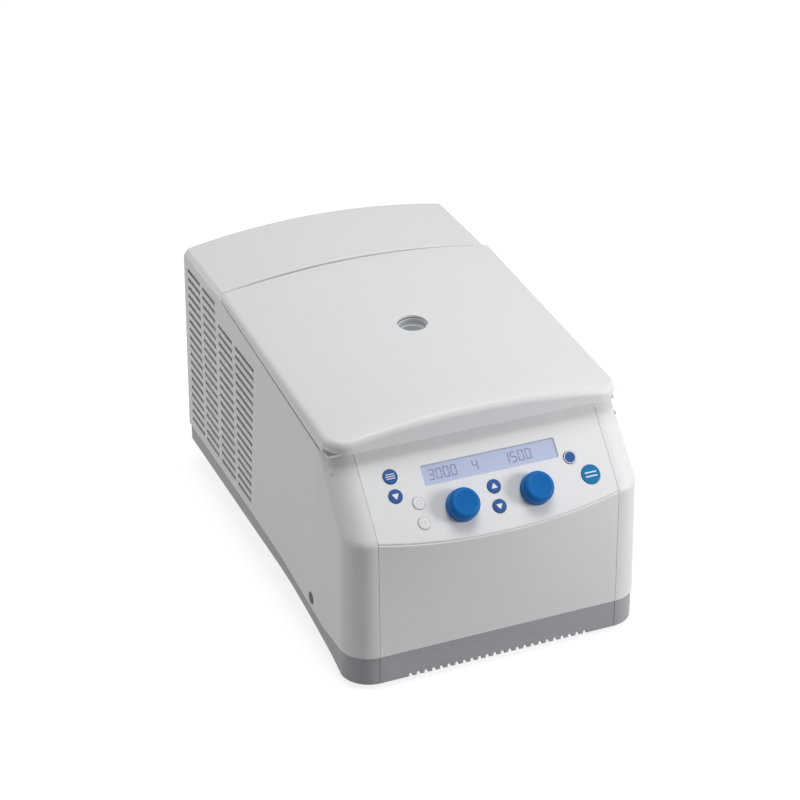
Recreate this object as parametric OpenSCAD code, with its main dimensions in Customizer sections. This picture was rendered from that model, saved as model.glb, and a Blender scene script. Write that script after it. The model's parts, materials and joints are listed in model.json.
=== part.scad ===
// Refrigerated bench centrifuge for microplates, with a hinged lid over a round rotor chamber.
// Millimetres, +Z up, the front looks towards -Y, and the origin is on the bench under the middle.

/* [Body] */
// Half the width of the housing at its lower edge
body_hw = 192; // [188:1:198]
// How much narrower the housing is at the shoulder, on each side
body_draft = 5; // [3:1:7]
// Depth from the panel's lip to the rear panel
body_d = 618; // [612:1:630]
// Wall of the moulded covers
wall = 3; // [2.5:0.25:3.5]
// Plan radius of the front corners
corner_r = 38; // [30:1:44]
// Lower edge of the covers at the front
skirt_top = 46; // [44:1:50]
// Height of the shoulder where the hood's crown starts
hood_z = 322.5; // [318:0.5:330]
// Rise of the crown at the middle of the hood and the lid
crown = 17; // [12:1:22]
// Width of the rounded shoulder on each side
shoulder = 5.5; // [4:0.5:8]
// Height of the rounded shoulder
shoulder_h = 9; // [6:1:12]

/* [Control panel] */
// Height of the fold between the front and the panel
panel_z = 202; // [196:1:208]
// Slope of the panel above the horizontal
panel_slope = 47.1; // [45:0.5:49]
// Length of the panel up the slope
panel_len = 113; // [110:1:116]
// Half the width between the two upright seams
panel_hw = 155; // [150:1:160]
// How far the lower edge sags at the middle, down the slope
panel_sag = 16.5; // [10:0.5:20]
// Thickness of the panel
panel_t = 3; // [2.5:0.25:3.5]
// Width of the fine seams between covers
seam_gap = 0.6; // [0.4:0.1:1]
// Radius of the two knobs
knob_r = 20; // [17:0.5:22]
// Height of the two knobs
knob_h = 18; // [14:1:22]
// Half the distance between the knobs
knob_x = 47.5; // [44:0.5:54]
// Middle of the two knobs, to the right of the middle line
knob_mid = 4; // [0:0.5:6]
// Distance of the knobs up the slope
knob_u = 24; // [23:0.5:28]
// Travel of each button
button_travel = 0.8; // [0.5:0.1:1.2]
// How far a button stands proud
button_proud = 1.2; // [0.9:0.1:2]
// Left edge of the display
display_x0 = -80; // [-84:1:-76]
// Right edge of the display
display_x1 = 92; // [88:1:94]
// Lower edge of the display, up the slope
display_u0 = 55.5; // [54:0.5:58]
// Height of the display
display_h = 25; // [22:1:28]

/* [Lid] */
// Rear edge of the lid
lid_rear_y = 157.5; // [154:0.5:160]
// Front edge of the lid
lid_front_y = -235; // [-240:1:-232]
// Shoulder height of the lid at its rear edge
lid_rear_z = 326.3; // [324:0.1:330]
// Fall of the lid's shoulder from rear to front
lid_fall = 21.6; // [18:0.1:24]
// Groove between the lid and the hood
groove = 5; // [4.5:0.5:7]
// Height of the side seam at the lid's rear edge
seam_rear_z = 315.7; // [313:0.1:318]
// Height of the side seam where the grip starts
seam_front_z = 282.4; // [281:0.1:285]
// Underside of the grip along the front edge
grip_z = 291; // [289:0.5:294]
// Rear end of the grip's underside
grip_y = -207; // [-210:1:-204]
// Plan radius of the lid's front corners
lid_corner_r = 30; // [24:1:34]
// Radius of the viewing port's ring
port_r = 19; // [16:0.5:22]
// Highest angle of the lid
lid_angle = 75; // [60:5:75]

/* [Hinge] */
// Hinge axis behind the front edge of the hood
hinge_back = 57.5; // [56:0.5:60]
// Height of the hinge axis
hinge_z = 295; // [293:1:297]
// Radius of the hinge shaft
hinge_r = 5; // [4:0.5:6]
// Running clearance of turning and sliding fits, on the radius
fit = 0.05; // [0.03:0.01:0.09]
// Distance of the middle of each hinge arm from the housing's side
arm_in = 30; // [29:0.5:32]
// Thickness of each hinge arm
arm_t = 8; // [6:0.5:9]

/* [Rotor chamber] */
// Place of the rotor axis from front to rear
axis_y = -31; // [-34:1:-28]
// Inner radius of the bowl
bowl_r = 150; // [149:0.5:151]
// Inner floor of the bowl
bowl_z = 134; // [130:1:137]
// Rim of the bowl
bowl_top = 262; // [260:1:263]
// Sheet thickness of the bowl
bowl_t = 1.5; // [1:0.25:2]
// Outer radius of the foam round the bowl
foam_r = 162; // [159:0.5:164]
// Thickness of the foam under the bowl
foam_t = 10; // [8:1:12]
// Thickness of the deck round the chamber
deck_t = 3; // [2:0.5:4]

/* [Rotor] */
// Radius of the drive shaft
shaft_r = 8; // [7:0.5:9]
// Height of the bucket pivots
pivot_z = 205; // [203:1:208]
// Distance of the bucket pivots from the rotor axis
pivot_x = 68; // [66:0.5:69]
// Radius of the pivot pins
pivot_r = 4; // [3:0.5:5]
// Inner length of a bucket, for a standard plate
plate_l = 129; // [128.5:0.5:130]
// Inner width of a bucket, for a standard plate
plate_w = 87; // [86.5:0.5:88]
// Depth of a bucket below its pivots
bucket_depth = 42; // [38:1:43]
// Wall of a bucket
bucket_wall = 2; // [1.5:0.25:2.25]

/* [Base] */
// Height of the rubber feet
foot_h = 8; // [6:1:10]
// Radius of the rubber feet
foot_r = 14; // [12:1:15]
// Feet from the middle line
foot_x = 140; // [130:1:146]
// Underside of the base's floor
floor_z = 40; // [39:0.5:41]
// Thickness of the base's floor
floor_t = 3; // [2:0.5:3]
// Thickness of the chassis plate
chassis_t = 3; // [2:0.5:4]
// How far the base is set in from the covers
base_inset = 1.5; // [1:0.25:2.5]
// Vent notches along the base's front edge
notch_n = 24; // [18:1:26]
// Spacing of the vent notches
notch_pitch = 10; // [8:0.5:10]

/* [Side vents] */
// Height of the top row of slots
vent_top_z = 299; // [292:1:302]
// Spacing of the rows
vent_pitch = 12.4; // [11:0.2:13]
// Height of each slot
vent_h = 5.4; // [3:0.2:6.5]
// Rows in the two rear columns
vent_rows = 19; // [12:1:19]
// Rows left out above the two front columns
vent_skip = 2; // [1:1:4]

/* [Machine] */
// Radius of the motor
motor_r = 58; // [50:1:60]
// Radius of the compressor
comp_r = 58; // [50:1:60]
// Height of the compressor's shell
comp_h = 142; // [110:1:150]
// Width of the square fan
fan_w = 120; // [100:1:120]
// Depth of the fan
fan_t = 26; // [20:1:26]
// Width of the condenser from left to right
cond_w = 28; // [20:1:28]

/* [Hidden] */
$fn = 96;
big = 900;
tiny = 0.01;
seat_gap = 0.3;
shell_white = [0.88, 0.88, 0.89];
base_grey = [0.56, 0.57, 0.59];
steel = [0.72, 0.73, 0.75];
knob_blue = [0.12, 0.42, 0.68];
button_blue = [0.11, 0.25, 0.55];

rear_y = body_d / 2;
lip_out = panel_sag * cos(panel_slope);
front_y = -rear_y + lip_out;
panel_top_y = front_y + panel_len * cos(panel_slope);
panel_top_z = panel_z + panel_len * sin(panel_slope);
hood_front_y = lid_rear_y + groove;
hinge_y = hood_front_y + hinge_back;
lid_tilt = atan(lid_fall / (lid_rear_y - lid_front_y));
seam_slope = (seam_rear_z - seam_front_z) / (lid_rear_y - grip_y);
lid_gap = 0.7;
floor_top = floor_z + floor_t;
chassis_top = floor_top + chassis_t;
deck_z = bowl_top + bowl_t;
deck_top = deck_z + deck_t;
motor_z = chassis_top + 12;
stand_z = bowl_z - bowl_t - foam_t;
shoulder_hw = body_hw - body_draft;
arm_x = body_hw - arm_in;

// Height of the lid's side seam at a place y
function seam_z(y) = seam_front_z + (y - grip_y) * seam_slope;
// Height of the panel's outer face at a place y
function slope_z(y) = panel_z + (y - front_y) * tan(panel_slope);
// Points of a crown of half width hw over a shoulder at z
function crown_arc(hw, z, rise, n = 32) =
    [for (i = [0:n]) let (s = 2 * i / n - 1) [s * hw, z + rise * (1 - s * s)]];
// Half the housing's width at a height z
function half_width(z) = body_hw - body_draft * (z - skirt_top) / (hood_z - shoulder_h - skirt_top);

// Section across the housing, drawn in by t
function housing_section(t) = concat(
    [[half_width(0) - t, 0], [shoulder_hw - t, hood_z - shoulder_h]],
    [for (p = crown_arc(shoulder_hw - shoulder - t, hood_z - t, crown)) [-p[0], p[1]]],
    [[t - shoulder_hw, hood_z - shoulder_h], [t - half_width(0), 0]]);
// Section across the lid, drawn in by t, with its shoulder at height 0
function lid_section(t) = concat(
    [[shoulder_hw - t, -60], [shoulder_hw - t, -shoulder_h]],
    [for (p = crown_arc(shoulder_hw - shoulder - t, -t, crown)) [-p[0], p[1]]],
    [[t - shoulder_hw, -shoulder_h], [t - shoulder_hw, -60]]);

// Lower edge of the covers, from front to rear
cover_edge = [[-big, skirt_top], [-255, skirt_top], [-205, skirt_top - 4], [-60, skirt_top + 11],
    [60, skirt_top + 14], [big, skirt_top + 14]];
// Lower edge of the base, from front to rear
base_edge = [[-big, foot_h], [-262, foot_h], [-228, foot_h + 9], [-164, foot_h + 19],
    [-97, foot_h + 27], [-50, foot_h + 29], [big, foot_h + 29]];

// Solid of a Y-Z outline across the whole width
module across(points, half = big) {
    rotate([90, 0, 90]) linear_extrude(height = 2 * half, center = true) polygon(points);
}
// Solid of an X-Z outline along the whole depth
module along(points, half = big) {
    rotate([90, 0, 0]) linear_extrude(height = 2 * half, center = true) polygon(points);
}
// Everything above a line of Y-Z points
module above(line) {
    across(concat(line, [[big, big], [-big, big]]));
}
// Upright block with two round front corners
module plan_block(hw, y0, y1, r, z0, z1) {
    translate([-hw, y0 + r, z0]) cube([2 * hw, y1 - y0 - r, z1 - z0]);
    translate([r - hw, y0, z0]) cube([2 * (hw - r), y1 - y0, z1 - z0]);
    for (s = [-1, 1])
        translate([s * (hw - r), y0 + r, z0]) cylinder(r = r, h = z1 - z0);
}
// Box given by its low and high corners
module block(lo, hi) {
    translate(lo) cube(hi - lo);
}
// Place things in the panel's frame: x along it, y up the slope, z out of it
module on_panel(x = 0, u = 0, n = 0) {
    translate([0, front_y, panel_z]) rotate([panel_slope, 0, 0]) translate([x, u, n]) children();
}

// Form of the housing with its hood, drawn in by t
module housing_solid(t) {
    intersection() {
        along(housing_section(t));
        plan_block(body_hw - t, front_y + t, rear_y + (t > 0 ? 50 : 0), corner_r - t, 0, big);
        across([[-big, 0], [front_y + t, 0], [front_y + t, panel_z - t * tan(panel_slope / 2)],
            [panel_top_y + t * tan(panel_slope / 2), panel_top_z - t],
            [grip_y - 2 - t, panel_top_z - t], [grip_y - 2 - t, seam_z(grip_y) - lid_gap - t],
            [hood_front_y, seam_z(hood_front_y) - lid_gap - t], [hood_front_y, big], [big, big], [big, 0]]);
    }
}

// One side's vent slots, in four columns
module side_slots(side) {
    columns = [for (c = [[68, 17], [129, 78], [195, 141], [281, 206]]) [rear_y - c[0], rear_y - c[1]]];
    lean = 1.4;
    for (c = [0:3]) {
        first = c < 2 ? 0 : vent_skip;
        for (k = [first:vent_rows - 1])
            let (y0 = columns[c][0] + (c == 3 ? lean * k : 0), z = vent_top_z - k * vent_pitch)
            translate([side * body_hw - 12, y0, z - vent_h / 2])
                cube([24, columns[c][1] - y0, vent_h]);
    }
}

release_y = -166;
release_z = 60;
release_r = 8.3;

module main_housing() color(shell_white) {
    difference() {
        housing_solid(0);
        housing_solid(wall);
        block([-panel_hw, -big, -1], [panel_hw, panel_top_y + 8, big]);
        // The mouth under the lid
        block([wall - shoulder_hw, grip_y - 8, seam_front_z - 30], [shoulder_hw - wall, hood_front_y, big]);
        across(concat([[-big, -big]], cover_edge, [[big, -big]]));
        for (side = [-1, 1]) side_slots(side);
        translate([-body_hw - 5, release_y, release_z]) rotate([0, 90, 0])
            cylinder(r = release_r + fit, h = 30);
    }
}

// The front's outer face at a share s of its half width and a height z, bulged under the panel's lip
lip_z = panel_z - panel_sag * sin(panel_slope);
function front_face_y(s, z) = front_y - lip_out * (1 - s * s) * (z - skirt_top) / (lip_z - skirt_top);
// Height at which the front's face meets the underside of the panel
function front_top_z(s) =
    let (drop = (panel_t + seat_gap) / cos(panel_slope),
        a = tan(panel_slope) * lip_out * (1 - s * s) / (lip_z - skirt_top))
    (panel_z - drop + a * skirt_top) / (1 + a);

module front_panel() color(shell_white) {
    n = 24;
    hw = panel_hw - seam_gap;
    points = [for (i = [0:n]) let (s = 2 * i / n - 1, z = front_top_z(s), y = front_face_y(s, z))
        each [[s * hw, front_y, skirt_top], [s * hw, y, z], [s * hw, y + wall, z], [s * hw, front_y + wall, skirt_top]]];
    sides = [for (i = [0:n - 1], j = [0:3]) let (a = 4 * i + j, b = 4 * i + (j + 1) % 4)
        each [[a, b, b + 4], [a, b + 4, a + 4]]];
    ends = [[3, 2, 1], [3, 1, 0], [4 * n, 4 * n + 1, 4 * n + 2], [4 * n, 4 * n + 2, 4 * n + 3]];
    polyhedron(points, concat(sides, ends));
}

// Places and radii of the eight buttons in the panel's frame
lines_at = [-118.5, 75.5];
ramp_at = [-118.5, 51.5];
white_upper_at = [-93, 38.2];
white_lower_at = [-93, 13.8];
warmer_at = [2.2, 38.2];
cooler_at = [2.2, 13.8];
open_at = [105, 52.5];
start_at = [125, 27];
lines_r = 9;
ramp_r = 8.5;
white_r = 8;
arrow_r = 8.5;
open_r = 8;
start_r = 12;
buttons = [[lines_at, lines_r], [ramp_at, ramp_r], [white_upper_at, white_r], [white_lower_at, white_r],
    [warmer_at, arrow_r], [cooler_at, arrow_r], [open_at, open_r], [start_at, start_r]];
button_gap = 0.35;
encoder_shaft_r = 3;
knob_gap = 0.6;

module control_panel() color(shell_white) {
    hw = panel_hw - seam_gap;
    on_panel() difference() {
        translate([0, 0, -panel_t]) linear_extrude(height = panel_t)
            polygon(concat([for (i = [0:32]) let (s = i / 16 - 1) [s * hw, -panel_sag * (1 - s * s)]],
                [[hw, panel_len], [-hw, panel_len]]));
        for (b = buttons)
            translate([b[0][0], b[0][1], -panel_t - 1]) cylinder(r = b[1] + button_gap, h = panel_t + 2);
        for (s = [-1, 1])
            translate([knob_mid + s * knob_x, knob_u, -panel_t - 1]) cylinder(r = encoder_shaft_r + seat_gap, h = panel_t + 2);
        block([display_x0, display_u0, -panel_t - 1], [display_x1, display_u0 + display_h, 1]);
    }
}

// A round button with a guide skirt under the panel
module button(at, r, ink) color(ink) {
    on_panel(at[0], at[1]) {
        translate([0, 0, -6]) cylinder(r = r, h = 6 + button_proud);
        translate([0, 0, -panel_t - seat_gap - 1.7]) cylinder(r = r + 1.4, h = 1.7);
    }
}

module button_lines() button(lines_at, lines_r, button_blue);
module button_ramp() button(ramp_at, ramp_r, button_blue);
module button_white_upper() button(white_upper_at, white_r, "white");
module button_white_lower() button(white_lower_at, white_r, "white");
module button_warmer() button(warmer_at, arrow_r, button_blue);
module button_cooler() button(cooler_at, arrow_r, button_blue);
module button_open() button(open_at, open_r, button_blue);
module button_start() button(start_at, start_r, knob_blue);

board_n = -22;
board_t = 1.6;

// A knob on its own spindle, which turns in the encoder's bush
module knob(x) color(knob_blue) {
    rim = 2.5;
    on_panel(x, knob_u, knob_gap) {
        rotate_extrude() polygon([[0, 0], [knob_r - 1, 0], [knob_r, 1], [knob_r - 1, knob_h - rim],
            [knob_r - 1 - rim, knob_h - 0.4], [knob_r - 6, knob_h], [0, knob_h - 0.8]]);
        translate([0, 0, -17]) cylinder(r = encoder_shaft_r, h = 17.5);
    }
}
module knob_left() knob(knob_mid - knob_x);
module knob_right() knob(knob_mid + knob_x);

module encoders() color("dimgray") {
    for (s = [-1, 1]) on_panel(knob_mid + s * knob_x, knob_u) difference() {
        union() {
            block([-8, -8, board_n], [8, 8, -8]);
            translate([0, 0, -8.5]) cylinder(r = 5, h = 8.5 - panel_t - seat_gap);
        }
        translate([0, 0, -20]) cylinder(r = encoder_shaft_r + fit, h = 30);
    }
}

module control_board() color("darkgreen") {
    switch_top = -6 - button_travel - 0.2;
    on_panel() {
        block([-140, -2, board_n - board_t], [140, 86, board_n]);
        for (b = buttons) {
            translate([b[0][0] - 5, b[0][1] - 5, board_n]) cube([10, 10, 9]);
            translate([b[0][0], b[0][1], board_n + 8]) cylinder(r = 2.5, h = switch_top - board_n - 8);
        }
        // Posts that hang the board from the panel
        for (x = [-134, 134], u = [4, 82])
            translate([x, u, board_n - board_t]) cylinder(r = 3.5, h = -board_n + board_t - panel_t);
    }
}

module display_module() color("gainsboro") {
    on_panel() difference() {
        block([display_x0 - 4, display_u0 - 3, board_n], [display_x1 + 3, display_u0 + display_h + 3, -panel_t - 0.1]);
        block([display_x0 + 3, display_u0 + 3, board_n - 1], [display_x1 - 3, display_u0 + display_h - 3, -panel_t - 4]);
    }
    on_panel() block([display_x0 + 0.3, display_u0 + 0.3, -panel_t - 0.2], [display_x1 - 0.3, display_u0 + display_h - 0.3, -1.6]);
}

module display_window() color([0.75, 0.82, 0.93, 0.5]) {
    on_panel() block([display_x0 + 0.2, display_u0 + 0.2, -1.2], [display_x1 - 0.2, display_u0 + display_h - 0.2, -0.2]);
}

// Segments of the ten digits: top, upper right, lower right, bottom, lower left, upper left, middle
segment_table = [[1, 1, 1, 1, 1, 1, 0], [0, 1, 1, 0, 0, 0, 0], [1, 1, 0, 1, 1, 0, 1], [1, 1, 1, 1, 0, 0, 1],
    [0, 1, 1, 0, 0, 1, 1], [1, 0, 1, 1, 0, 1, 1], [1, 0, 1, 1, 1, 1, 1], [1, 1, 1, 0, 0, 0, 0],
    [1, 1, 1, 1, 1, 1, 1], [1, 1, 1, 1, 0, 1, 1]];
digit_h = 13;
digit_w = 7;
digit_pitch = 9.5;
stroke = 1.1;
// One seven-segment digit standing on the panel's x axis
module digit(value) {
    half = digit_h / 2;
    bars = [[0.8, digit_h - stroke, digit_w - 0.8, digit_h], [digit_w - stroke, half + 0.4, digit_w, digit_h - 0.6],
        [digit_w - stroke, 0.6, digit_w, half - 0.4], [0.8, 0, digit_w - 0.8, stroke], [0, 0.6, stroke, half - 0.4],
        [0, half + 0.4, stroke, digit_h - 0.6], [0.8, half - stroke / 2, digit_w - 0.8, half + stroke / 2]];
    for (i = [0:6])
        if (segment_table[value][i] == 1)
            block([bars[i][0], bars[i][1], 0], [bars[i][2], bars[i][3], 0.3]);
}
readings = [[-72, [3, 0, 0, 0]], [-16, [4]], [24, [1, 5, 0, 0]]];
module display_digits() color([0.1, 0.16, 0.35]) {
    for (r = readings, i = [0:len(r[1]) - 1])
        on_panel(r[0] + i * digit_pitch, display_u0 + 6, -1.55) digit(r[1][i]);
}

// Inlet and switch in the rear panel
inlet_x = -70;
inlet_z = 92;
inlet_w = 27.5;
inlet_h = 20;
switch_x = -20;
switch_w = 13;
switch_h = 21;
rear_screw_r = 1.8;
rear_screws = [for (x = [-150, 150], z = [82, 292]) [x, z]];

module rear_panel() color("silver") {
    t = 2;
    difference() {
        intersection() {
            along(housing_section(wall + seat_gap));
            block([-big, rear_y - 1 - t, skirt_top + 14], [big, rear_y - 1, big]);
        }
        block([inlet_x - inlet_w / 2, rear_y - 20, inlet_z - inlet_h / 2], [inlet_x + inlet_w / 2, rear_y + 1, inlet_z + inlet_h / 2]);
        block([switch_x - switch_w / 2, rear_y - 20, inlet_z - switch_h / 2], [switch_x + switch_w / 2, rear_y + 1, inlet_z + switch_h / 2]);
        for (p = rear_screws) translate([p[0], rear_y + 1, p[1]]) rotate([90, 0, 0]) cylinder(r = rear_screw_r + 0.2, h = 20);
        for (x = [-60:60:120], k = [0:7])
            block([x - 22, rear_y - 20, 150 + 16 * k], [x + 22, rear_y + 1, 155 + 16 * k]);
    }
}

module panel_screws() color(steel) {
    for (p = rear_screws) translate([p[0], rear_y - 1, p[1]]) rotate([90, 0, 0]) {
        cylinder(r = rear_screw_r, h = 10);
        translate([0, 0, -0.9]) cylinder(r = 3.5, h = 0.9);
    }
}

module power_inlet() color([0.12, 0.12, 0.13]) {
    y = rear_y - 1;
    difference() {
        union() {
            block([inlet_x - inlet_w / 2 + 0.2, y - 26, inlet_z - inlet_h / 2 + 0.2], [inlet_x + inlet_w / 2 - 0.2, y + 1, inlet_z + inlet_h / 2 - 0.2]);
            block([inlet_x - inlet_w / 2 - 6, y + 0.05, inlet_z - inlet_h / 2 - 3], [inlet_x + inlet_w / 2 + 6, y + 1, inlet_z + inlet_h / 2 + 3]);
        }
        block([inlet_x - inlet_w / 2 + 2, y - 16, inlet_z - inlet_h / 2 + 2], [inlet_x + inlet_w / 2 - 2, y + 5, inlet_z + inlet_h / 2 - 2]);
    }
    for (x = [-7, 0, 7])
        block([inlet_x + x - 1, y - 17, inlet_z - 3 + (x == 0 ? 3 : 0)], [inlet_x + x + 1, y - 5, inlet_z + 2 + (x == 0 ? 3 : 0)]);
}

module power_switch() color([0.15, 0.15, 0.16]) {
    y = rear_y - 1;
    intersection() {
        translate([switch_x, y - 6, inlet_z]) rotate([0, 90, 0]) cylinder(r = 10.2, h = switch_w - 1, center = true);
        block([-big, y - 14, -big], [big, y + 0.9, big]);
    }
}

// Skirt of the base between its two edges, drawn in by t
module base_skirt(t) {
    intersection() {
        plan_block(body_hw - t, front_y + t, rear_y - 2 - t, corner_r - t, 0, 80);
        above(base_edge);
        across(concat([[-big, -big]], [for (p = cover_edge) [p[0], p[1] - seat_gap]], [[big, -big]]));
    }
}
module base_tray() color(base_grey) {
    in = base_inset;
    difference() {
        union() {
            difference() {
                base_skirt(in);
                plan_block(body_hw - in - wall, front_y + in + wall, rear_y - 2 - in - wall, corner_r - in - wall, -1, 90);
            }
            plan_block(body_hw - in - 1, front_y + in + 1, rear_y - 3 - in, corner_r - in - 1, floor_z, floor_top - 1.5);
            plan_block(body_hw - in - wall, front_y + in + wall, rear_y - 2 - in - wall, corner_r - in - wall, floor_z, floor_top);
            for (p = foot_places) translate([p[0], p[1], foot_h]) cylinder(r = foot_r + 3, h = floor_z - foot_h + 1);
        }
        for (p = foot_places) translate([p[0], p[1], 0]) cylinder(r = 2.6, h = 90);
        for (i = [0:notch_n - 1])
            translate([(i - (notch_n - 1) / 2) * notch_pitch - 2.2, front_y - 5, 0]) cube([4.4, 14, foot_h + 4]);
        motor_hole();
    }
}
module motor_hole() {
    translate([0, axis_y, 0]) cylinder(r = 14, h = 100);
}
foot_places = [for (s = [-1, 1], y = [front_y + 34, rear_y - 50]) [s * foot_x, y]];

module rubber_feet() color([0.16, 0.16, 0.17]) {
    for (p = foot_places) translate([p[0], p[1], 0]) difference() {
        rotate_extrude() polygon([[0, 0], [foot_r - 2, 0], [foot_r, 2], [foot_r, foot_h], [0, foot_h]]);
        translate([0, 0, -1]) cylinder(r = 5.4, h = 4);
        cylinder(r = 2.6, h = foot_h + 1);
    }
}
module foot_screws() color(steel) {
    for (p = foot_places) translate([p[0], p[1], 0]) {
        translate([0, 0, 3]) mirror([0, 0, 1]) cylinder(r = 5, h = 2.2);
        translate([0, 0, 2.5]) cylinder(r = 2.5, h = floor_top - 2.5 - 0.5);
    }
}

module chassis_plate() color(steel) {
    difference() {
        plan_block(body_hw - 8, front_y + 8, rear_y - 8, corner_r - 6, floor_top, chassis_top);
        motor_hole();
    }
}

// Outer or inner form of the lid, drawn in by t
module lid_solid(t) {
    intersection() {
        translate([0, lid_rear_y, lid_rear_z]) rotate([lid_tilt, 0, 0]) along(lid_section(t));
        plan_block(shoulder_hw - t, lid_front_y + t, lid_rear_y - t, lid_corner_r - t, 0, big);
        across([[lid_front_y - 1, grip_z + t], [grip_y + t, grip_z + t], [grip_y + t, seam_z(grip_y) + lid_gap - (t > 0 ? 20 : 0)],
            [lid_rear_y, seam_z(lid_rear_y) + lid_gap - (t > 0 ? 20 : 0)], [lid_rear_y, big], [lid_front_y - 1, big]]);
    }
}

// Depth of the lid's rear wall under its crown
rear_wall_h = 7;
module lid_shell() color(shell_white) {
    difference() {
        lid_solid(0);
        lid_solid(wall);
        intersection() {
            translate([0, lid_rear_y, lid_rear_z - rear_wall_h]) rotate([lid_tilt, 0, 0]) along(lid_section(wall));
            block([-big, lid_rear_y - 20, 0], [big, lid_rear_y + 5, big]);
        }
        translate([0, axis_y, 0]) cylinder(r = port_r + 0.1, h = big);
    }
}

liner_z = 272.5;
liner_t = 2.5;
liner_hw = shoulder_hw - 15;
liner_rear_y = 116;
flange_t = 2.5;
// Top of the liner's front part, under the lid's grip wall
liner_front_z = seam_z(grip_y) + lid_gap - seat_gap;
// Distance of the flange from the lid's rear edge, clear of the hood as the lid swings
flange_back = 11;
// Distance of the flange from the lid's sides, clear of the shell's rounded shoulder
flange_in = wall + 2;
hook_x = 110;
hook_t = 4;
hook_y0 = -211;
hook_y1 = -199;
hook_z = 238;

// Solid between two heights above the seam plane
module seam_slab(z0, z1, y0, y1) {
    across([[y0, seam_z(y0) + z0], [y1, seam_z(y1) + z0], [y1, seam_z(y1) + z1], [y0, seam_z(y0) + z1]]);
}
module liner_plan(inset, z0, z1) {
    block([inset - liner_hw, grip_y + 3 + inset, z0], [liner_hw - inset, liner_rear_y - inset, z1]);
    block([inset - 140, -214 + inset, z0], [140 - inset, grip_y + 4, z1]);
}

module lid_liner() color([0.8, 0.81, 0.82]) {
    tube_r = port_r + 0.1;
    difference() {
        union() {
            intersection() {
                liner_plan(0, liner_z, big);
                union() {
                    seam_slab(-60, 1.2, grip_y + 3, lid_rear_y);
                    block([-big, -214, 0], [big, grip_y + 4, liner_front_z]);
                }
            }
            intersection() {
                block([flange_in - shoulder_hw, grip_y + wall + seat_gap, 0],
                    [shoulder_hw - flange_in, lid_rear_y - flange_back, big]);
                seam_slab(1, 1 + flange_t, grip_y, lid_rear_y);
            }
        }
        difference() {
            liner_plan(liner_t, liner_z + liner_t, big);
            block([-big, -215, liner_front_z - liner_t], [big, grip_y + 4, big]);
        }
        translate([0, axis_y, 0]) cylinder(r = tube_r, h = big);
    }
}

seal_z = deck_top + 0.05;
module lid_seal() color([0.2, 0.2, 0.21]) {
    translate([0, axis_y, seal_z]) difference() {
        cylinder(r = bowl_r + 9, h = liner_z - seal_z - 0.2);
        translate([0, 0, -1]) cylinder(r = bowl_r + 3.5, h = 20);
    }
}

port_top = lid_rear_z + crown - (lid_rear_y - axis_y - port_r) * tan(lid_tilt) - 3.5;
glass_z = port_top - 8;
module port_ring() color([0.62, 0.63, 0.65]) {
    translate([0, axis_y, 0]) difference() {
        translate([0, 0, liner_z]) cylinder(r = port_r, h = port_top - liner_z);
        cylinder(r = port_r - 4.5, h = big);
        translate([0, 0, glass_z]) cylinder(r = port_r - 2, h = big);
    }
}
module port_glass() color([0.7, 0.75, 0.78, 0.4]) {
    translate([0, axis_y, glass_z]) cylinder(r = port_r - 2.2, h = 3);
}

// Gooseneck arms that carry the lid round the hood's front edge
neck_z = hinge_z - 66;
module hinge_arms() color(steel) {
    front = hinge_y - 84;
    for (s = [-1, 1]) difference() {
        intersection() {
            translate([s * arm_x, 0, 0]) union() {
                across([[front, neck_z], [hinge_y + 7, neck_z], [hinge_y + 7, hinge_z], [hinge_y - 7, hinge_z],
                    [hinge_y - 7, neck_z + 14], [front + 14, neck_z + 14], [front + 14, 400], [front, 400]], arm_t / 2);
                across([[front - 12, 290], [front + 14, 290], [front + 14, 400], [front - 12, 400]], arm_t / 2);
                translate([0, hinge_y, hinge_z]) rotate([0, 90, 0]) cylinder(r = 11, h = arm_t, center = true);
            }
            union() {
                block([-big, hinge_y - 30, 0], [big, big, big]);
                seam_slab(-big, 0.9, -big, hinge_y);
            }
        }
        translate([0, hinge_y, hinge_z]) rotate([0, 90, 0]) cylinder(r = hinge_r + fit, h = big, center = true);
    }
}

upright_x = arm_x + arm_t / 2 + 2.5;
upright_t = 3;
module hinge_shaft() color(steel) {
    translate([0, hinge_y, hinge_z]) rotate([0, 90, 0]) cylinder(r = hinge_r, h = 2 * (upright_x + upright_t + 1), center = true);
}
module hinge_uprights() color("silver") {
    for (s = [-1, 1]) difference() {
        block([s * (upright_x + upright_t / 2) - upright_t / 2, hinge_y - 18, chassis_top],
            [s * (upright_x + upright_t / 2) + upright_t / 2, hinge_y + 18, hinge_z + 12]);
        translate([0, hinge_y, hinge_z]) rotate([0, 90, 0]) cylinder(r = hinge_r + 0.01, h = big, center = true);
    }
}
module hinge_springs() color("gray") {
    for (s = [-1, 1]) translate([s * (arm_x - arm_t / 2 - 22), hinge_y, hinge_z]) rotate([0, 90, 0]) difference() {
        cylinder(r = hinge_r + 4, h = 40, center = true);
        cylinder(r = hinge_r + seat_gap, h = 50, center = true);
    }
}

window_z0 = 243;
window_z1 = 254;
module latch_hooks() color(steel) {
    for (s = [-1, 1]) difference() {
        block([s * hook_x - hook_t / 2, hook_y0, hook_z], [s * hook_x + hook_t / 2, hook_y1, liner_z]);
        block([s * hook_x - 5, hook_y0 + 2, window_z0], [s * hook_x + 5, hook_y1 - 2, window_z1]);
    }
}

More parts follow.
